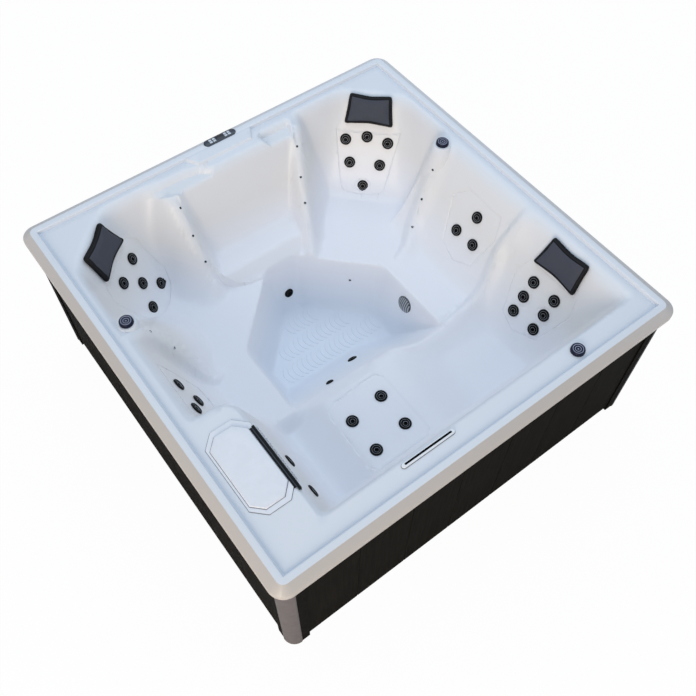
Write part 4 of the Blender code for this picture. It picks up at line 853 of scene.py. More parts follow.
# Split each edge that strays from the moulded form, until none does
for turn in range(SPLIT_ROUNDS):
    keys, where, uses = matched(faces[:, [[0, 1], [1, 2], [2, 0]]].reshape(-1, 2), len(flat))
    ends = np.stack((keys // len(flat), keys % len(flat)), 1)
    middle = flat[ends].mean(1)
    exact = shell_points(middle)
    length = np.linalg.norm(points[ends[:, 0]] - points[ends[:, 1]], axis=1)
    flat_length = np.linalg.norm(flat[ends[:, 0]] - flat[ends[:, 1]], axis=1)
    stray = np.linalg.norm(exact - points[ends].mean(1), axis=1)
    ring = np.abs(middle).max(1)
    rim_of_hole = np.abs(near_hole(exact)) < length / 2 + HOLE_MARGIN
    line_of_inset = inset_depths(middle[:, 0], middle[:, 1])[1] < length / 2 + INSET_EDGE / 2
    split = (stray > np.where(ring > DECK_EDGE, RIM_ERROR, BEND_ERROR)) & (flat_length > SHORTEST_EDGE)
    split |= rim_of_hole & (length > HOLE_EDGE) & (ring < DECK_EDGE)
    split |= line_of_inset & (length > INSET_LINE_EDGE) & (ring < DECK_EDGE)
    split &= uses > 1
    if not split.any():
        break
    added = np.full(len(keys), -1)
    added[split] = len(flat) + np.arange(split.sum())
    flat, points = np.vstack((flat, middle[split])), np.vstack((points, exact[split]))
    cut = added[where].reshape(-1, 3)
    marked = (cut >= 0).sum(1)
    made = [faces[marked == 0]]
    for count, key in ((1, lambda m: np.argmax(m >= 0, 1)), (2, lambda m: (np.argmax(m < 0, 1) + 1) % 3)):
        rows = np.where(marked == count)[0]
        order = (key(cut[rows])[:, None] + np.arange(3)) % 3
        corner = np.take_along_axis(faces[rows], order, 1)
        mids = np.take_along_axis(cut[rows], order, 1)
        p, q, r = corner.T
        m, n = mids[:, 0], mids[:, 1]
        if count == 1:
            made += [np.stack((p, m, r), 1), np.stack((m, q, r), 1)]
        else:
            made += [np.stack((m, q, n), 1), np.stack((p, m, n), 1), np.stack((p, n, r), 1)]
    rows = marked == 3
    p, q, r = faces[rows].T
    m, n, o = cut[rows].T
    made += [np.stack(t, 1) for t in ((p, m, o), (m, q, n), (o, n, r), (m, n, o))]
    faces = np.concatenate(made)

# Drill the fittings' holes, and take the true normals of the moulded form
open_face = (near_hole(points)[faces] > 0).all(1)
faces = faces[open_face]
ways = np.array(((1, 0), (-1, 0), (0, 1), (0, -1))) * NORMAL_STEP
lean = [shell_points(flat + way) for way in ways]
normals = np.cross(lean[0] - lean[1], lean[2] - lean[3])
normals /= np.maximum(np.linalg.norm(normals, axis=1, keepdims=True), 1e-12)
used = np.unique(faces)
renumber = np.full(len(flat), -1)
renumber[used] = np.arange(len(used))
faces, points, normals, flat = renumber[faces], points[used], normals[used], flat[used]

# The back of the sheet, one wall thickness under it, and the cut edges
total = len(points)
under = points - normals * WALL
pairs = faces[:, [[0, 1], [1, 2], [2, 0]]].reshape(-1, 2)
_, where, uses = matched(pairs, total)
edge = pairs[uses[where] == 1]
rim = np.concatenate((
    np.stack((edge[:, 1], edge[:, 0], edge[:, 0] + total), 1),
    np.stack((edge[:, 1], edge[:, 0] + total, edge[:, 1] + total), 1),
))
every = np.concatenate((faces, faces[:, ::-1] + total, rim))
shell_mesh = bpy.data.meshes.new("acrylic_sheet")
shell_mesh.vertices.add(2 * total)
shell_mesh.vertices.foreach_set("co", np.vstack((points, under)).astype(np.float32).ravel())
shell_mesh.loops.add(every.size)
shell_mesh.loops.foreach_set("vertex_index", every.astype(np.int32).ravel())
shell_mesh.polygons.add(len(every))
shell_mesh.polygons.foreach_set("loop_start", np.arange(0, every.size, 3, dtype=np.int32))
shell_mesh.update(calc_edges=True)
shell_mesh.validate()
shell_mesh.shade_smooth()
shell_mesh.set_sharp_from_angle(angle=math.radians(SHEET_CREASE))
if len(shell_mesh.loops) == every.size:
    # The rim and every smooth stretch of the sheet take the exact normals
    loop_normals = np.empty(3 * every.size, np.float32)
    shell_mesh.corner_normals.foreach_get("vector", loop_normals)
    loop_normals = loop_normals.reshape(-1, 3)
    top = faces.ravel()
    agrees = (loop_normals[:top.size] * normals[top]).sum(1) > SMOOTH_AGREEMENT
    exact_here = np.where((np.abs(flat).max(1)[top] > DECK_EDGE + RIM_MARGIN) | agrees)[0]
    loop_normals[exact_here] = normals[top[exact_here]]
    shell_mesh.normals_split_custom_set(loop_normals.tolist())
# Painted shade in the small groove along the deck's edge
GUTTER_START = 0.001
GUTTER_END = (0.9930, 0.9965)
# Painted warm light and shade on the rim's outer face: warmer and darker than the sheet, strongest at the
# front left towards the low lamp, a share of it at the back right
SKIRT_START = (1.0236, 1.0270)
SKIRT_LEAST_LIGHT = 0.35
SKIRT_LIGHT = (-1.8, 0.8)
reach = np.interp(np.maximum(np.abs(flat).max(1) - DECK_EDGE, 0.0), rim_run, rim_out)
gutter_shade_share = ease(reach, DECK_EDGE, DECK_EDGE + GUTTER_START) * (1 - ease(reach, *GUTTER_END))
skirt_light_share = ease(reach, *SKIRT_START) * mix(SKIRT_LEAST_LIGHT, 1.0, ease(-flat.sum(1), *SKIRT_LIGHT))
for label, zone in (("skirt_painted_light", skirt_light_share), ("gutter_shade", gutter_shade_share)):
    held = shell_mesh.attributes.new(label, "FLOAT", "POINT")
    held.data.foreach_set("value", np.concatenate((zone, zone)).astype(np.float32))

# Painted light and shade on the sheet, by height in metres from the footwell floor up
# to the deck: bluer on the floors and deck that face the sky, warmer and darker on the walls between
SHEET_PAINTED_SHADE = (
    (0.075, (0.820, 0.860, 0.930)),
    (0.370, (0.870, 0.875, 0.925)),
    (0.460, (0.850, 0.855, 0.900)),
    (0.620, (0.785, 0.775, 0.775)),
    (0.780, (0.750, 0.755, 0.780)),
    (0.830, (0.730, 0.770, 0.835)),
)
SHADE_JITTER = 0.05
SKIRT_PAINTED_LIGHT = (0.500, 0.465, 0.440, 1.0)
GUTTER_PAINTED_SHADE = (0.68, 0.73, 0.81, 1.0)
SHEET_ROUGHNESS = 0.42
SHEET_COAT = 0.12
SHEET_COAT_ROUGHNESS = 0.22


def tinted_zone(nodes, links, base, label, tint):
    """Blend to another tint where a vertex attribute of the sheet says so."""
    zone = nodes.new("ShaderNodeAttribute")
    zone.attribute_name = label
    mixed = nodes.new("ShaderNodeMix")
    mixed.data_type = "RGBA"
    links.new(zone.outputs["Fac"], mixed.inputs["Factor"])
    links.new(base, mixed.inputs["A"])
    mixed.inputs["B"].default_value = tint
    return mixed.outputs["Result"]


acrylic, nodes, links = new_material("white_acrylic")
shader = nodes["Principled BSDF"]
spot = nodes.new("ShaderNodeTexCoord")
level = nodes.new("ShaderNodeSeparateXYZ")
links.new(spot.outputs["Object"], level.inputs[0])
# Noise jitters the height, so that the bands of painted shade blur into each other
jittered_height = nodes.new("ShaderNodeMath")
jittered_height.operation = "MULTIPLY_ADD"
jittered_height.inputs[1].default_value = SHADE_JITTER
links.new(grain(nodes, links, 3.0, 6.0), jittered_height.inputs[0])
links.new(level.outputs["Z"], jittered_height.inputs[2])
stops = [(height + SHADE_JITTER / 2, colour) for height, colour in SHEET_PAINTED_SHADE]
sheet_painted_light = ramp_of(nodes, links, jittered_height.outputs[0], *stops)
# Painted shade in the deck's edge groove
sheet_painted_light = tinted_zone(nodes, links, sheet_painted_light, "gutter_shade", GUTTER_PAINTED_SHADE)
# Painted warm light and shade on the rim's outer face
sheet_painted_light = tinted_zone(nodes, links, sheet_painted_light, "skirt_painted_light", SKIRT_PAINTED_LIGHT)
links.new(sheet_painted_light, shader.inputs["Base Color"])
shader.inputs["Roughness"].default_value = SHEET_ROUGHNESS
shader.inputs["Coat Weight"].default_value = SHEET_COAT
shader.inputs["Coat Roughness"].default_value = SHEET_COAT_ROUGHNESS
relief_from(nodes, links, grain(nodes, links, 160.0, 2.0), 0.9, 0.000036)
fitted("acrylic_sheet", shell_mesh, [acrylic], "tub", "acrylic", "acrylic_shell")


# Tread. Three rows of bowed ribs moulded into the footwell's floor, so that
# wet feet don't slip; each rib is a low bead of the same acrylic.
TREAD_ROWS = (0.072, 0.194, 0.316)
TREAD_PITCH = 0.030
TREAD_BOW = 0.0625
TREAD_HALF_TURN = math.radians(53)
TREAD_REACH = 0.390
RIB_RADIUS = 0.0026
RIB_FLATNESS = 0.85
RIB_STEPS = 19
RIB_SIDES = 10
FLOOR_TOLERANCE = 0.0014


def tree_with(name, *inputs):
    """An empty Geometry Nodes tree with named inputs, and their identifiers."""
    tree = bpy.data.node_groups.new(name, "GeometryNodeTree")
    tree.interface.new_socket("Geometry", in_out="INPUT", socket_type="NodeSocketGeometry")
    sockets = {}
    for label, value in inputs:
        kind = "NodeSocketInt" if isinstance(value, int) else "NodeSocketFloat"
        sockets[tree.interface.new_socket(label, in_out="INPUT", socket_type=kind).identifier] = value
    tree.interface.new_socket("Geometry", in_out="OUTPUT", socket_type="NodeSocketGeometry")
    return tree, sockets


def painted(tree, geometry, made):
    """The tree's end: real geometry with its material, to the output."""
    real = tree.nodes.new("GeometryNodeRealizeInstances")
    paint = tree.nodes.new("GeometryNodeSetMaterial")
    paint.inputs["Material"].default_value = made
    result = tree.nodes.new("NodeGroupOutput")
    tree.links.new(geometry, real.inputs["Geometry"])
    tree.links.new(real.outputs["Geometry"], paint.inputs["Geometry"])
    tree.links.new(paint.outputs["Geometry"], result.inputs["Geometry"])


def plain_copy(item):
    """The mesh that an object's modifiers leave, the object itself removed."""
    bpy.context.view_layer.update()
    graph = bpy.context.evaluated_depsgraph_get()
    mesh = bpy.data.meshes.new_from_object(item.evaluated_get(graph))
    bpy.data.objects.remove(item, do_unlink=True)
    return mesh


def grown(tree, sockets, start):
    """Run a tree on a start mesh, and keep the plain mesh that comes out."""
    holder = piece(tree.name, start)
    change = holder.modifiers.new(tree.name, "NODES")
    change.node_group = tree
    for identifier, value in sockets.items():
        change[identifier] = value
    mesh = plain_copy(holder)
    mesh.materials.clear()
    return mesh


def tread_tree():
    """Geometry Nodes: one bowed rib, set on every point of the start mesh."""
    tree, sockets = tree_with(
        "tread_ribs",
        ("Bow", TREAD_BOW),
        ("Rib radius", RIB_RADIUS),
        ("Flatness", RIB_FLATNESS),
    )
    join = tree.links.new
    given = tree.nodes.new("NodeGroupInput")
    bow = tree.nodes.new("GeometryNodeCurveArc")
    bow.inputs["Resolution"].default_value = RIB_STEPS
    bow.inputs["Start Angle"].default_value = math.pi - TREAD_HALF_TURN
    bow.inputs["Sweep Angle"].default_value = 2 * TREAD_HALF_TURN
    join(given.outputs["Bow"], bow.inputs["Radius"])
    bead = tree.nodes.new("GeometryNodeCurvePrimitiveCircle")
    bead.inputs["Resolution"].default_value = RIB_SIDES
    join(given.outputs["Rib radius"], bead.inputs["Radius"])
    rib = tree.nodes.new("GeometryNodeCurveToMesh")
    rib.inputs["Fill Caps"].default_value = True
    join(bow.outputs["Curve"], rib.inputs["Curve"])
    join(bead.outputs["Curve"], rib.inputs["Profile Curve"])
    low = tree.nodes.new("ShaderNodeCombineXYZ")
    low.inputs["X"].default_value = 1.0
    low.inputs["Y"].default_value = 1.0
    join(given.outputs["Flatness"], low.inputs["Z"])
    spread = tree.nodes.new("GeometryNodeInstanceOnPoints")
    join(given.outputs["Geometry"], spread.inputs["Points"])
    join(rib.outputs["Mesh"], spread.inputs["Instance"])
    join(low.outputs[0], spread.inputs["Scale"])
    painted(tree, spread.outputs["Instances"], acrylic)
    return tree, sockets


centres = []
turns = [math.pi + TREAD_HALF_TURN * share for share in (-1.0, -0.5, 0.0, 0.5, 1.0)]
for row in TREAD_ROWS:
    for number in range(round(2 * TREAD_REACH / TREAD_PITCH)):
        middle_x = -TREAD_REACH + TREAD_PITCH * number + TREAD_BOW
        spots = [(middle_x + TREAD_BOW * math.cos(turn), row + TREAD_BOW * math.sin(turn)) for turn in turns]
        if shell_points(np.array(spots))[:, 2].max() < FOOT_LEVEL + FLOOR_TOLERANCE:
            centres.append((middle_x, row, FOOT_LEVEL))
start = bpy.data.meshes.new("tread_points")
start.from_pydata(centres, [], [])
tread_mesh = grown(*tread_tree(), start)
tread_mesh.shade_smooth()
fitted("tread_ribs", tread_mesh, [acrylic], "tub", "acrylic")


# Jets. Each is a black bezel with a scalloped grip that turns in its seat, two
# grey inner rings, and a dark nozzle cup with a small throat. The grey of the rings is
# partly the jet's own and partly painted highlight for the glints round the nozzle.
JET_LIP = 0.007
JET_EYE_TURN = 0.0026
JET_EYE_RADIUS = 0.0170
JET_STEM_TOP = -0.02
JET_GRIPS = 24
JET_GRIP_DEPTH = 0.0011
JET_GRIP_FROM = 0.025
JET_PARTS = 96
WELD = 0.00002


def turned(work, profile, sides, material_index=0, ripple=None):
    """Turn a profile of radius and height round Z, its ends closed on the axis."""
    rows = []
    for radius, level in profile:
        if radius == 0:
            rows.append([work.verts.new((0.0, 0.0, level))])
            continue
        ring = []
        for step in range(sides):
            angle = 2 * math.pi * step / sides
            size = radius + (ripple(angle, radius, level) if ripple else 0.0)
            ring.append(work.verts.new((size * math.cos(angle), size * math.sin(angle), level)))
        rows.append(ring)
    for first, second in zip(rows, rows[1:]):
        for step in range(sides):
            nxt = (step + 1) % sides
            corners = [first[step % len(first)], second[step % len(second)]]
            if len(second) > 1:
                corners.append(second[nxt])
            if len(first) > 1:
                corners.append(first[nxt])
            work.faces.new(corners).material_index = material_index
    return work


def turned_form(sides, parts, ripple=None):
    """Work turned from profiles that meet, each after its material's number."""
    work = bmesh.new()
    for number, profile in parts:
        turned(work, profile, sides, number, ripple)
    bmesh.ops.remove_doubles(work, verts=work.verts, dist=WELD)
    return work


def scallop(angle, radius, level):
    """How far the bezel's edge is drawn in between its grips."""
    if radius <= JET_GRIP_FROM or level <= 0:
        return 0.0
    return -JET_GRIP_DEPTH * (0.5 - 0.5 * math.cos(JET_GRIPS * angle))


jet_black = moulded("jet_black", (0.0030, 0.0033, 0.0038), 0.34, shine=0.16)
# Grey rings: partly the jet's own grey, partly painted highlight for the nozzle's glints
jet_grey_and_glint = moulded("jet_grey_and_glint", (0.290, 0.305, 0.330), 0.30)
jet_throat = moulded("jet_throat", (0.0020, 0.0020, 0.0024), 0.45, shine=0.1)
work = turned_form(JET_PARTS, (
    (0, ((0.0, -0.0340), (0.0210, -0.0340), (0.0210, -0.0007), (0.0304, -0.0007), (0.0304, 0.0020),
         (0.0295, 0.0045), (0.0276, 0.0064), (0.0256, JET_LIP), (0.0240, 0.0062), (0.0228, 0.0042),
         (0.0214, 0.0022))),
    (1, ((0.0214, 0.0022), (0.0208, 0.0032), (0.0200, 0.0032), (0.0194, 0.0020))),
    (0, ((0.0194, 0.0020), (0.0170, -0.0034), (0.0150, -0.0038), (0.0128, 0.0006), (0.0120, 0.0022))),
    (1, ((0.0120, 0.0022), (0.0114, 0.0030), (0.0108, 0.0030), (0.0102, 0.0022))),
    (2, ((0.0102, 0.0022), (0.0080, -0.0022), (0.0055, -0.0062), (0.0, -0.0072))),
), scallop)
for vert in work.verts:
    if vert.co.z > JET_STEM_TOP:
        vert.co.y -= JET_EYE_TURN * (1 - min(1.0, vert.co.xy.length / JET_EYE_RADIUS) ** 4)
jet_form = mesh_from(work, "jet")
for name, jet_place in JET_PLACES:
    mesh = jet_form.copy()
    mesh.name = name + "_fine"
    mesh.transform(jet_place)
    fitted(name + "_fine", mesh, [jet_black, jet_grey_and_glint, jet_throat], name + "_body", "jet", name)


# Control knobs. Navy caps with two pale rings let into the top, turned by
# hand to share out the water and air; each sits on a stem through the deck.
KNOB_PARTS = 72
KNOB_GRIPS = 18
KNOB_GRIP_DEPTH = 0.0009
KNOB_GRIP_FROM = 0.029
KNOB_GRIP_TOP = 0.0145


def knurl(angle, radius, level):
    """How deep the grooves are cut round the cap's side."""
    if radius <= KNOB_GRIP_FROM or level >= KNOB_GRIP_TOP:
        return 0.0
    return -KNOB_GRIP_DEPTH * max(0.0, math.cos(KNOB_GRIPS * angle)) ** 4


knob_skin = {"scale": 700.0, "relief": 0.08}
navy = moulded("knob_navy", (0.0040, 0.0066, 0.0270), 0.30, contrast=0.10, shine=0.2, **knob_skin)
pale_ring = moulded("knob_pale_ring", (0.30, 0.34, 0.48), 0.30, **knob_skin)
knob_form = mesh_from(turned_form(KNOB_PARTS, (
    (0, ((0.0, -0.0400), (0.0150, -0.0400), (0.0150, -0.0007), (0.0325, -0.0007), (0.0322, 0.0060),
         (0.0308, 0.0140), (0.0292, 0.0157), (0.0265, 0.0160), (0.0238, 0.0156))),
    (1, ((0.0238, 0.0156), (0.0232, 0.0161), (0.0214, 0.0161), (0.0208, 0.0154))),
    (0, ((0.0208, 0.0154), (0.0195, 0.0138), (0.0160, 0.0134), (0.0142, 0.0142))),
    (1, ((0.0142, 0.0142), (0.0137, 0.0148), (0.0119, 0.0148), (0.0113, 0.0142))),
    (0, ((0.0113, 0.0142), (0.0085, 0.0134), (0.0035, 0.0136))),
    (1, ((0.0035, 0.0136), (0.0, 0.0138))),
), knurl), "knob")
for name, x, y in KNOBS:
    mesh = knob_form.copy()
    mesh.transform(Matrix.Translation((x, y, DECK)))
    fitted(name + "_fine", mesh, [navy, pale_ring], name + "_body", "valve", name)


# Suction cover and returns. Domed grey grille screwed over the suction in the
# footwell wall, and three small black returns pushed into their holes.
SUCTION_RADIUS = 0.046
DOME_RISE = 0.0125
DOME_LOW = 0.0015
GRILLE_BARS = 7
BAR_PARTS = 15
BAR_REACH = 0.80
COVER_PARTS = 64
RETURN_PARTS = 48
THIRD_RETURN_SHARE = 0.78
grille_grey = moulded("grille_grey", (0.430, 0.455, 0.500), 0.42, scale=700.0, relief=0.12)
grille_shade = moulded("grille_shade", (0.060, 0.065, 0.080), 0.5, scale=700.0, relief=0.12)


def bar_row():
    """Geometry Nodes: a row of bars, each as long as the round cover is there."""
    tree, sockets = tree_with(
        "suction_bars",
        ("Bar width", 0.0056),
        ("Bar height", 0.0060),
        ("Pitch", 0.0118),
        ("Bars", GRILLE_BARS),
    )
    join = tree.links.new
    given = tree.nodes.new("NodeGroupInput")

    def sum_of(operation, first, second):
        """A sum made by a Math node, of numbers or other nodes' outputs."""
        node = tree.nodes.new("ShaderNodeMath")
        node.operation = operation
        for socket, value in zip(node.inputs, (first, second)):
            if isinstance(value, float):
                socket.default_value = value
            elif value is not None:
                join(value, socket)
        return node.outputs[0]

    size = tree.nodes.new("ShaderNodeCombineXYZ")
    size.inputs["Y"].default_value = 2.0
    join(given.outputs["Bar width"], size.inputs["X"])
    join(given.outputs["Bar height"], size.inputs["Z"])
    bar = tree.nodes.new("GeometryNodeMeshCube")
    bar.inputs["Vertices Y"].default_value = BAR_PARTS
    join(size.outputs[0], bar.inputs["Size"])
    gap = tree.nodes.new("ShaderNodeCombineXYZ")
    join(given.outputs["Pitch"], gap.inputs["X"])
    begin = tree.nodes.new("ShaderNodeCombineXYZ")
    half_run = sum_of("MULTIPLY", sum_of("SUBTRACT", given.outputs["Bars"], 1.0), given.outputs["Pitch"])
    join(sum_of("MULTIPLY", half_run, -0.5), begin.inputs["X"])
    line = tree.nodes.new("GeometryNodeMeshLine")
    join(given.outputs["Bars"], line.inputs["Count"])
    join(gap.outputs[0], line.inputs["Offset"])
    join(begin.outputs[0], line.inputs["Start Location"])
    where = tree.nodes.new("GeometryNodeInputPosition")
    split = tree.nodes.new("ShaderNodeSeparateXYZ")
    join(where.outputs[0], split.inputs[0])
    across_squared = sum_of("POWER", split.outputs["X"], 2.0)
    left_over = sum_of("SUBTRACT", SUCTION_RADIUS ** 2 * BAR_REACH, across_squared)
    stretch = tree.nodes.new("ShaderNodeCombineXYZ")
    stretch.inputs["X"].default_value = 1.0
    stretch.inputs["Z"].default_value = 1.0
    join(sum_of("SQRT", left_over, None), stretch.inputs["Y"])
    spread = tree.nodes.new("GeometryNodeInstanceOnPoints")
    join(line.outputs["Mesh"], spread.inputs["Points"])
    join(bar.outputs["Mesh"], spread.inputs["Instance"])
    join(stretch.outputs[0], spread.inputs["Scale"])
    painted(tree, spread.outputs["Instances"], grille_grey)
    return grown(tree, sockets, bpy.data.meshes.new("bars"))


def dome_level(distance):
    """Height of the domed cover at a distance from its middle."""
    return DOME_RISE * max(0.0, 1 - (distance / SUCTION_RADIUS) ** 2) + DOME_LOW


bars = bar_row()
for vert in bars.vertices:
    vert.co.z += dome_level(math.hypot(vert.co.x, vert.co.y))
bars.transform(SUCTION_PLACE)
fitted("suction_bars", bars, [grille_grey], "tub", "grey_plastic")
dome = [SUCTION_RADIUS * share for share in (0.9, 0.75, 0.5, 0.25, 0.0)]
disc = [
    (0.0, -0.030), (0.026, -0.030), (0.026, -0.0007),
    (SUCTION_RADIUS, -0.0007), (0.0455, 0.0025), (0.0435, 0.0040),
]
# The disc under the bars is near black: painted shade for the openings between the bars
work = turned(bmesh.new(), disc + [(radius, dome_level(radius)) for radius in dome], COVER_PARTS)
mesh = mesh_from(work, "suction_disc", place=SUCTION_PLACE)
fitted("suction_disc", mesh, [grille_shade], "tub", "grey_plastic", "suction_cover")
RETURN_FORM = (
    (0.0, -0.030), (0.013, -0.030), (0.013, -0.0007), (0.026, -0.0007), (0.0256, 0.0030), (0.0235, 0.0055),
    (0.0190, 0.0076), (0.0150, 0.0078), (0.0135, 0.0060), (0.0120, 0.0010), (0.0070, -0.0010), (0.0, -0.0010),
)
for number, return_place in enumerate(RETURN_PLACES, 1):
    width = THIRD_RETURN_SHARE if number == 3 else 1.0
    work = turned(bmesh.new(), [(radius * width, level) for radius, level in RETURN_FORM], RETURN_PARTS)
    mesh = mesh_from(work, "return", place=return_place)
    fitted("return_%d_fine" % number, mesh, [jet_black], "tub", "jet", "return_%d" % number)


# Air injectors. Small push-in fittings, a black eye in a white collar, that
# bubble air up the backrests and out of the footwell wall.
INJECTORS = (
    (-0.365, 0.798), (-0.371, 0.704), (-0.371, 0.618), (0.333, 0.814), (0.280, 0.713), (0.240, 0.624),
    (0.820, 0.306), (0.736, 0.275), (0.650, 0.233), (-0.833, 0.273), (-0.771, 0.211), (0.262, 0.262),
)
INJECTOR_PARTS = 28
SLOPE_STEP = 0.001
collar_white = moulded("collar_white", (0.82, 0.85, 0.88), 0.25, relief=0.06)
for number, (x, y) in enumerate(INJECTORS, 1):
    spot = shell_points(np.array([(x, y), (x + SLOPE_STEP, y), (x, y + SLOPE_STEP)]))
    normal = Vector(np.cross(spot[1] - spot[0], spot[2] - spot[0])).normalized()
    turn = normal.to_track_quat("Z", "Y").to_matrix().to_4x4()
    work = turned_form(INJECTOR_PARTS, (
        (0, ((0.0085, -0.0040), (0.0090, 0.0004), (0.0084, 0.0018), (0.0070, 0.0022), (0.0060, 0.0018))),
        (1, ((0.0060, 0.0018), (0.0052, 0.0010), (0.0, 0.0008))),
        (0, ((0.0085, -0.0040), (0.0, -0.0042))),
    ))
    mesh = mesh_from(work, "injector", place=Matrix.Translation(spot[0]) @ turn)
    fitted("air_injector_%d" % number, mesh, [collar_white, jet_throat], "tub", "jet")


# Pillows. Skinned foam cushions, wider at the foot and drawn in along the long
# sides, slate with a black rolled edge, pressed onto studs in the backrest.
PILLOW_TOP_HALF = 0.112
PILLOW_FOOT_HALF = 0.131
PILLOW_HALF = 0.080
PILLOW_WAIST = 0.010
PILLOW_TUCK = 0.001
CORNER_SMOOTHINGS = 7
PILLOW_DEPTH = 0.027
PILLOW_VOXEL = 0.0045
PILLOW_BACK = 0.003
PILLOW_PRESSURE = 4.0
PILLOW_FRAMES = 20
PILLOW_REACH = 0.008
PILLOW_EDGE = 0.0155
PILLOW_SEAM = 0.0016
SEAM_WIDTH = 0.0022
FRONT_FROM = 0.008
FRONT_TO = 0.016
PILLOW_OFF_WALL = 0.0006
# Section of the blank, as tuck and level
PILLOW_SECTION = (
    (0.004, 0.0), (0.0, 0.004), (0.0, 0.017), (0.0025, 0.0225), (0.007, 0.0258), (0.012, PILLOW_DEPTH),
)


def pillow_outline(tuck):
    """Waisted trapezium with rounded corners, drawn in by a tuck."""
    half, top, foot = PILLOW_HALF - tuck, PILLOW_TOP_HALF - tuck, PILLOW_FOOT_HALF - tuck
    ends = ((-foot, -half), (foot, -half), (top, half), (-top, half))
    points = []
    sides = zip(ends, ends[1:] + ends[:1], (60, 38, 60, 38), (1.0, 0.25, 1.0, 0.25))
    for (ax, ay), (bx, by), parts, waist in sides:
        run = math.dist((ax, ay), (bx, by))
        for step in range(parts):
            share = step / parts
            inward = PILLOW_WAIST * waist * math.sin(math.pi * share) ** 2 / run
            points.append((mix(ax, bx, share) - (by - ay) * inward, mix(ay, by, share) + (bx - ax) * inward))
    for _ in range(CORNER_SMOOTHINGS):
        points = [
            tuple((p + 2 * q + r) / 4 for p, q, r in zip(*trio))
            for trio in zip(points[-1:] + points[:-1], points, points[1:] + points[:1])
        ]
    return points


def stacked(outlines, closed=False):
    """Work skinned over outlines at their levels; closed joins the last to the first."""
    work = bmesh.new()
    rows = [[work.verts.new((x, y, level)) for x, y in outline] for outline, level in outlines]
    for first, second in zip(rows, rows[1:] + rows[:1] if closed else rows[1:]):
        for step in range(len(first)):
            nxt = (step + 1) % len(first)
            work.faces.new((first[step], first[nxt], second[nxt], second[step]))
    if not closed:
        work.faces.new(rows[-1])
        work.faces.new(list(reversed(rows[0])))
    return work


def pillow_blank():
    """The cushion before it is blown up, as an even mesh."""
    work = stacked([(pillow_outline(PILLOW_TUCK + tuck), level) for tuck, level in PILLOW_SECTION])
    blank = piece("pillow_blank", mesh_from(work, "pillow_blank", None))
    even = blank.modifiers.new("even", "REMESH")
    even.mode = "VOXEL"
    even.voxel_size = PILLOW_VOXEL
    return plain_copy(blank)


def mesh_points(mesh):
    """The mesh's points, as an array."""
    values = np.empty(3 * len(mesh.vertices), np.float32)
    mesh.vertices.foreach_get("co", values)
    return values.reshape(-1, 3).astype(float)


def blown_up(mesh):
    """Cloth under light pressure with its back held, capped in its reach."""
    start = mesh_points(mesh)
    skin = piece("pillow_skin", mesh.copy())
    back_group = skin.vertex_groups.new(name="back")
    back_group.add([int(index) for index in np.where(start[:, 2] < PILLOW_BACK)[0]], 1.0, "REPLACE")
    cloth = skin.modifiers.new("cloth", "CLOTH")
    cloth.settings.vertex_group_mass = "back"
    cloth.settings.use_pressure = True
    cloth.settings.uniform_pressure_force = PILLOW_PRESSURE
    cloth.settings.effector_weights.gravity = 0.0
    cloth.collision_settings.use_collision = False
    cloth.point_cache.frame_start = 1
    cloth.point_cache.frame_end = PILLOW_FRAMES
    for number in range(1, PILLOW_FRAMES + 1):
        bpy.context.scene.frame_set(number)
    moved = mesh_points(plain_copy(skin)) - start
    bpy.context.scene.frame_set(1)
    length = np.linalg.norm(moved, axis=1, keepdims=True)
    return start + moved * np.minimum(1.0, PILLOW_REACH / np.maximum(length, 1e-9))


def pillow_form():
    """The cushion with its rolled edge and seam, on its back at the origin."""
    mesh = pillow_blank()
    points = mesh_points(mesh)
    points = blown_up(mesh)
    mesh.vertices.foreach_set("co", points.astype(np.float32).ravel())
    cushion = piece("cushion", mesh)
    finer = cushion.modifiers.new("finer", "SUBSURF")
    finer.levels = 1
    finer.render_levels = 1
    mesh = plain_copy(cushion)
    points = mesh_points(mesh)
    depth = inside_by(points[:, 0], points[:, 1], pillow_outline(0.0))
    front = ease(points[:, 2], FRONT_FROM, FRONT_TO)
    seam = np.exp(-((depth - PILLOW_EDGE) / SEAM_WIDTH) ** 2) * front
    points[:, 2] -= seam * PILLOW_SEAM
    points[:, 2] = np.maximum(points[:, 2], 0.0)
    mesh.vertices.foreach_set("co", points.astype(np.float32).ravel())
    rolled = mesh.attributes.new("rolled_edge", "FLOAT", "POINT")
    share = np.clip(depth / (2 * PILLOW_EDGE), 0.0, 1.0) * front
    rolled.data.foreach_set("value", share.astype(np.float32))
    mesh.update()
    mesh.shade_smooth()
    return mesh


foam_skin = {"scale": 420.0, "relief": 0.55, "contrast": 0.10}
foam = moulded("pillow_foam", (0.066, 0.071, 0.094), 0.62, shine=0.18, **foam_skin)
nodes, links = foam.node_tree.nodes, foam.node_tree.links
border = nodes.new("ShaderNodeAttribute")
border.attribute_name = "rolled_edge"
bands = ramp_of(
    nodes, links, border.outputs["Fac"],
    (0.16, (0.0045, 0.0045, 0.0055)),
    (0.24, (0.0110, 0.0118, 0.0150)),
    (0.32, (0.0110, 0.0118, 0.0150)),
    (0.38, (0.0040, 0.0040, 0.0050)),
    (0.51, (0.0040, 0.0040, 0.0050)),
    (0.56, (0.058, 0.063, 0.083)),
)
links.new(bands, nodes["Principled BSDF"].inputs["Base Color"])
pillow_mesh = pillow_form()
for name, wall, side, down in (
    ("pillow_rear_left", REAR_LEFT_BACK, 0.006, 0.0790),
    ("pillow_rear_right", REAR_RIGHT_BACK, 0.004, 0.0790),
    ("pillow_lounger", RIGHT_BACK, -0.552, 0.0900),
):
    mesh = pillow_mesh.copy()
    mesh.transform(wall_place(*wall, side, down) @ Matrix.Translation((0, 0, PILLOW_OFF_WALL)))
    item = fitted(name + "_fine", mesh, [foam], "tub", "pillow", name)


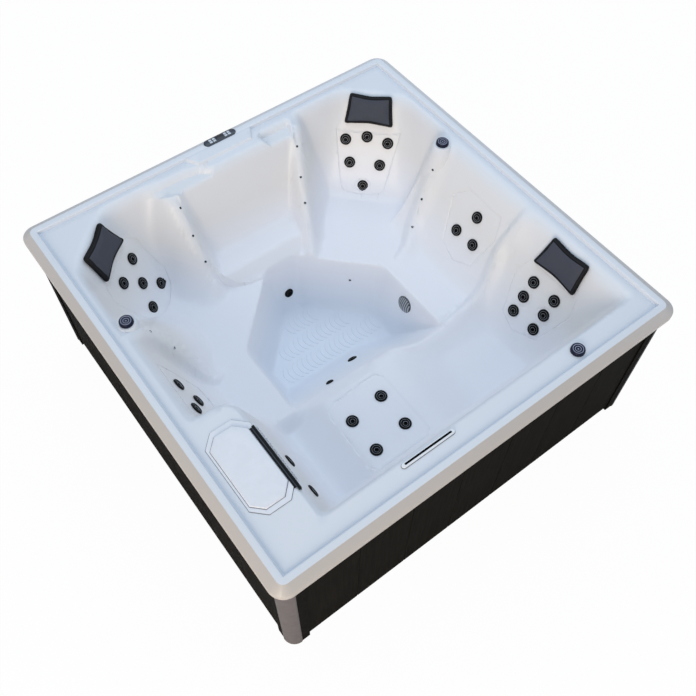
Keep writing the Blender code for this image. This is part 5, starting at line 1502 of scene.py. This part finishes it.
# Keypad. A dark oval plate and rim let into the lip, a black display in its
# middle and four pale keys at each end, sealed under one clear membrane.
KEYPAD_MIDDLE = (0.007, 1.015)
KEYPAD_SIZE = (0.182, 0.044)
PLATE_SIZE = (0.170, 0.034)
DISPLAY_SIZE = (0.040, 0.026)
KEY_SIZE = (0.0145, 0.0118)
KEY_COLUMNS = (0.0330, 0.0530)
KEY_ROW = 0.0072
KEYPAD_LOW = 0.8473
MEMBRANE_LOW = KEYPAD_LOW + 0.0077
MEMBRANE_TOP = KEYPAD_LOW + 0.0086


def oval(length, width, steps=14):
    """A long outline with round ends."""
    radius, points = width / 2, []
    for side, start in ((1, -math.pi / 2), (-1, math.pi / 2)):
        for step in range(steps + 1):
            angle = start + math.pi * step / steps
            points.append((side * (length / 2 - radius) + radius * math.cos(angle), radius * math.sin(angle)))
    return points


keypad_rim = moulded("keypad_rim", (0.020, 0.026, 0.040), 0.25, relief=0.06, contrast=0.10, coat=0.4)
key_skin = {"relief": 0.05, "coat": 0.2}
keypad_plate = moulded("keypad_plate", (0.030, 0.040, 0.065), 0.28, contrast=0.06, **key_skin)
keypad_keys = moulded("keypad_keys", (0.60, 0.66, 0.74), 0.30, contrast=0.06, **key_skin)
keypad_display = moulded("keypad_display", (0.008, 0.010, 0.016), 0.25, contrast=0.10, **key_skin)
centre = Matrix.Translation((*KEYPAD_MIDDLE, 0.0))
for name, size, low, high, bevel, made, replaced in (
    ("keypad_rim", KEYPAD_SIZE, 0.0, 0.0062, 0.0018, keypad_rim, ["keypad"]),
    ("keypad_plate", PLATE_SIZE, 0.0063, 0.0076, 0.0005, keypad_plate, []),
):
    work = bevelled(prism(bmesh.new(), oval(*size), KEYPAD_LOW + low, KEYPAD_LOW + high), bevel, 2)
    fitted(name, mesh_from(work, name, place=centre), [made], "tub", "keypad", *replaced)
keys = [(way * column, row) for way in (-1, 1) for column in KEY_COLUMNS for row in (-KEY_ROW, KEY_ROW)]
for name, middles, (wide, deep), made in (
    ("keypad_display", [(0.0, 0.0)], DISPLAY_SIZE, keypad_display),
    ("keypad_keys", keys, KEY_SIZE, keypad_keys),
):
    work = bmesh.new()
    for x, y in middles:
        left, right, front, rear = x - wide / 2, x + wide / 2, y - deep / 2, y + deep / 2
        tile = [(left, front), (right, front), (right, rear), (left, rear)]
        prism(work, tile, MEMBRANE_LOW, MEMBRANE_TOP)
    bevelled(work, 0.0004, 2)
    fitted(name, mesh_from(work, name, place=centre), [made], "tub", "keypad")


# Waterfall. A white plastic bar on the deck beside the lounger, with one long
# dark slot that lays a sheet of water over the edge.
FALL_MIDDLE = (-0.252, -0.918)
FALL_SIZE = (0.268, 0.022)
FALL_LOW = 0.8353
FALL_HEIGHT = 0.0092
FALL_BEAD_SIZE = (0.2715, 0.0255)
SLOT_SIZE = (0.240, 0.0092)
SLOT_SHIFT = 0.001
SLOT_LOW = 0.0080
SLOT_HIGH = 0.0097
BEAD_LOW = DECK + 0.0001
BEAD_HIGH = DECK + 0.0016
fall_white = moulded("spout_white", (0.80, 0.84, 0.89), 0.24, relief=0.05, contrast=0.04, coat=0.3)
bead_grey = moulded("bead_grey", (0.16, 0.18, 0.22), 0.55, shine=0.2)
fall_place = Matrix.Translation((*FALL_MIDDLE, 0.0))
slot_place = fall_place @ Matrix.Translation((0.0, SLOT_SHIFT, 0.0))
work = prism(bmesh.new(), oval(*FALL_BEAD_SIZE), BEAD_LOW, BEAD_HIGH)
mesh = mesh_from(work, "waterfall_bead", place=fall_place)
fitted("waterfall_bead", mesh, [bead_grey], "tub", "grey_plastic")
work = bevelled(prism(bmesh.new(), oval(*FALL_SIZE), FALL_LOW, FALL_LOW + FALL_HEIGHT), 0.0030, 4)
mesh = mesh_from(work, "waterfall_bar", place=fall_place)
fitted("waterfall_bar", mesh, [fall_white], "tub", "white_plastic", "waterfall_spout")
# The slot is a thin black strip standing on the bar's top: painted shade for the opening
work = bevelled(prism(bmesh.new(), oval(*SLOT_SIZE, 5), FALL_LOW + SLOT_LOW, FALL_LOW + SLOT_HIGH), 0.0003, 1)
mesh = mesh_from(work, "waterfall_slot", place=slot_place)
fitted("waterfall_slot", mesh, [jet_throat], "tub", "jet")


# Filter bay. A white octagonal trim bonded to the deck, a lift-off lid, a grey
# weir flap that swings on its pins, and two pleated cartridges in the well.
trim_white = moulded("trim_white", (0.770, 0.800, 0.865), 0.30, relief=0.05, contrast=0.03, coat=0.2)
dress("filter_trim", trim_white)
weir_grey = moulded("weir_grey", (0.030, 0.036, 0.044), 0.35, scale=700.0)
dress("weir_flap", weir_grey)
TRIM_MIDDLE = (-0.852, -0.560)
TRIM_SIZE = (0.208, 0.420)
TRIM_CUT = 0.055
LID_MIDDLE = (-0.8575, -0.562)
LID_SIZE = (0.176, 0.370)
LID_CUT = 0.046
LID_LOW = 0.8396
# Section of the lid's edge, as inset and height
LID_SECTION = (
    (0.0, 0.0), (0.0, 0.0042), (0.0007, 0.0060), (0.0022, 0.0072), (0.0050, 0.0078), (0.0300, 0.0080),
)
CUT_SHARE = 0.6
BEAD_PROUD = 0.0015
BEAD_UNDER = 0.0050


def octagon(width, length, cut):
    """A rectangle about the origin with its corners cut off."""
    half, reach, points = width / 2, length / 2, []
    for sx, sy in ((1, -1), (1, 1), (-1, 1), (-1, -1)):
        first, second = (sx * (half - cut), sy * reach), (sx * half, sy * (reach - cut))
        points += [first, second] if sx * sy < 0 else [second, first]
    return points


rings = []
for inset, rise in LID_SECTION:
    outline = octagon(LID_SIZE[0] - 2 * inset, LID_SIZE[1] - 2 * inset, LID_CUT - inset * CUT_SHARE)
    rings.append((outline, LID_LOW + rise))
mesh = mesh_from(stacked(rings), "filter_lid_fine", 32, Matrix.Translation((*LID_MIDDLE, 0.0)))
fitted("filter_lid_fine", mesh, [trim_white], "filter_lid_body", "white_plastic", "filter_lid")
fleece = moulded("filter_fleece", (0.74, 0.76, 0.79), 0.85, scale=600.0, relief=0.5)
for number in (1, 2):
    dress("filter_cartridge_%d" % number, fleece)

# A grey bead round the trim's foot is partly its seal to the deck and partly painted
# shade for the seam there; a grey bead under the lid's edge is painted shade for the
# gap between lid and trim. A black rubber strip in two ribs frames the mouth over the weir
rubber_black = moulded("mouth_rubber", (0.0035, 0.0045, 0.0060), 0.50, shine=0.2)
# A dark grey for the web between the mouth's two black ribs
rubber_grey_web = moulded("mouth_rubber_web", (0.060, 0.072, 0.090), 0.50, shine=0.2)
for name, middle, (width, length), cut, low, high in (
    ("trim_bead", TRIM_MIDDLE, TRIM_SIZE, TRIM_CUT, BEAD_LOW, BEAD_HIGH),
    ("lid_bead", LID_MIDDLE, LID_SIZE, LID_CUT, LID_LOW - 0.0002, LID_LOW + 0.0010),
):
    rings = []
    for proud, level in ((BEAD_PROUD, low), (BEAD_PROUD, high), (-BEAD_UNDER, high), (-BEAD_UNDER, low)):
        ring_cut = cut + CUT_SHARE * (proud - BEAD_PROUD)
        rings.append((octagon(width + 2 * proud, length + 2 * proud, ring_cut), level))
    mesh = mesh_from(stacked(rings, closed=True), name, place=Matrix.Translation((*middle, 0.0)))
    fitted(name, mesh, [bead_grey], "tub", "white_plastic")
for name, made, left_x, right_x, front_y, back_y, low, high in (
    ("mouth_rib_inner", rubber_black, -0.7665, -0.7585, -0.7400, -0.4280, 0.8300, 0.8424),
    ("mouth_web", rubber_grey_web, -0.7590, -0.7540, -0.7400, -0.4280, 0.8300, 0.8412),
    ("mouth_rib_outer", rubber_black, -0.7545, -0.7430, -0.7550, -0.4230, 0.8215, 0.8428),
):
    box = [(left_x, front_y), (right_x, front_y), (right_x, back_y), (left_x, back_y)]
    work = bevelled(prism(bmesh.new(), box, low, high), 0.0008, 2)
    fitted(name, mesh_from(work, name), [made], "tub", "grey_plastic")
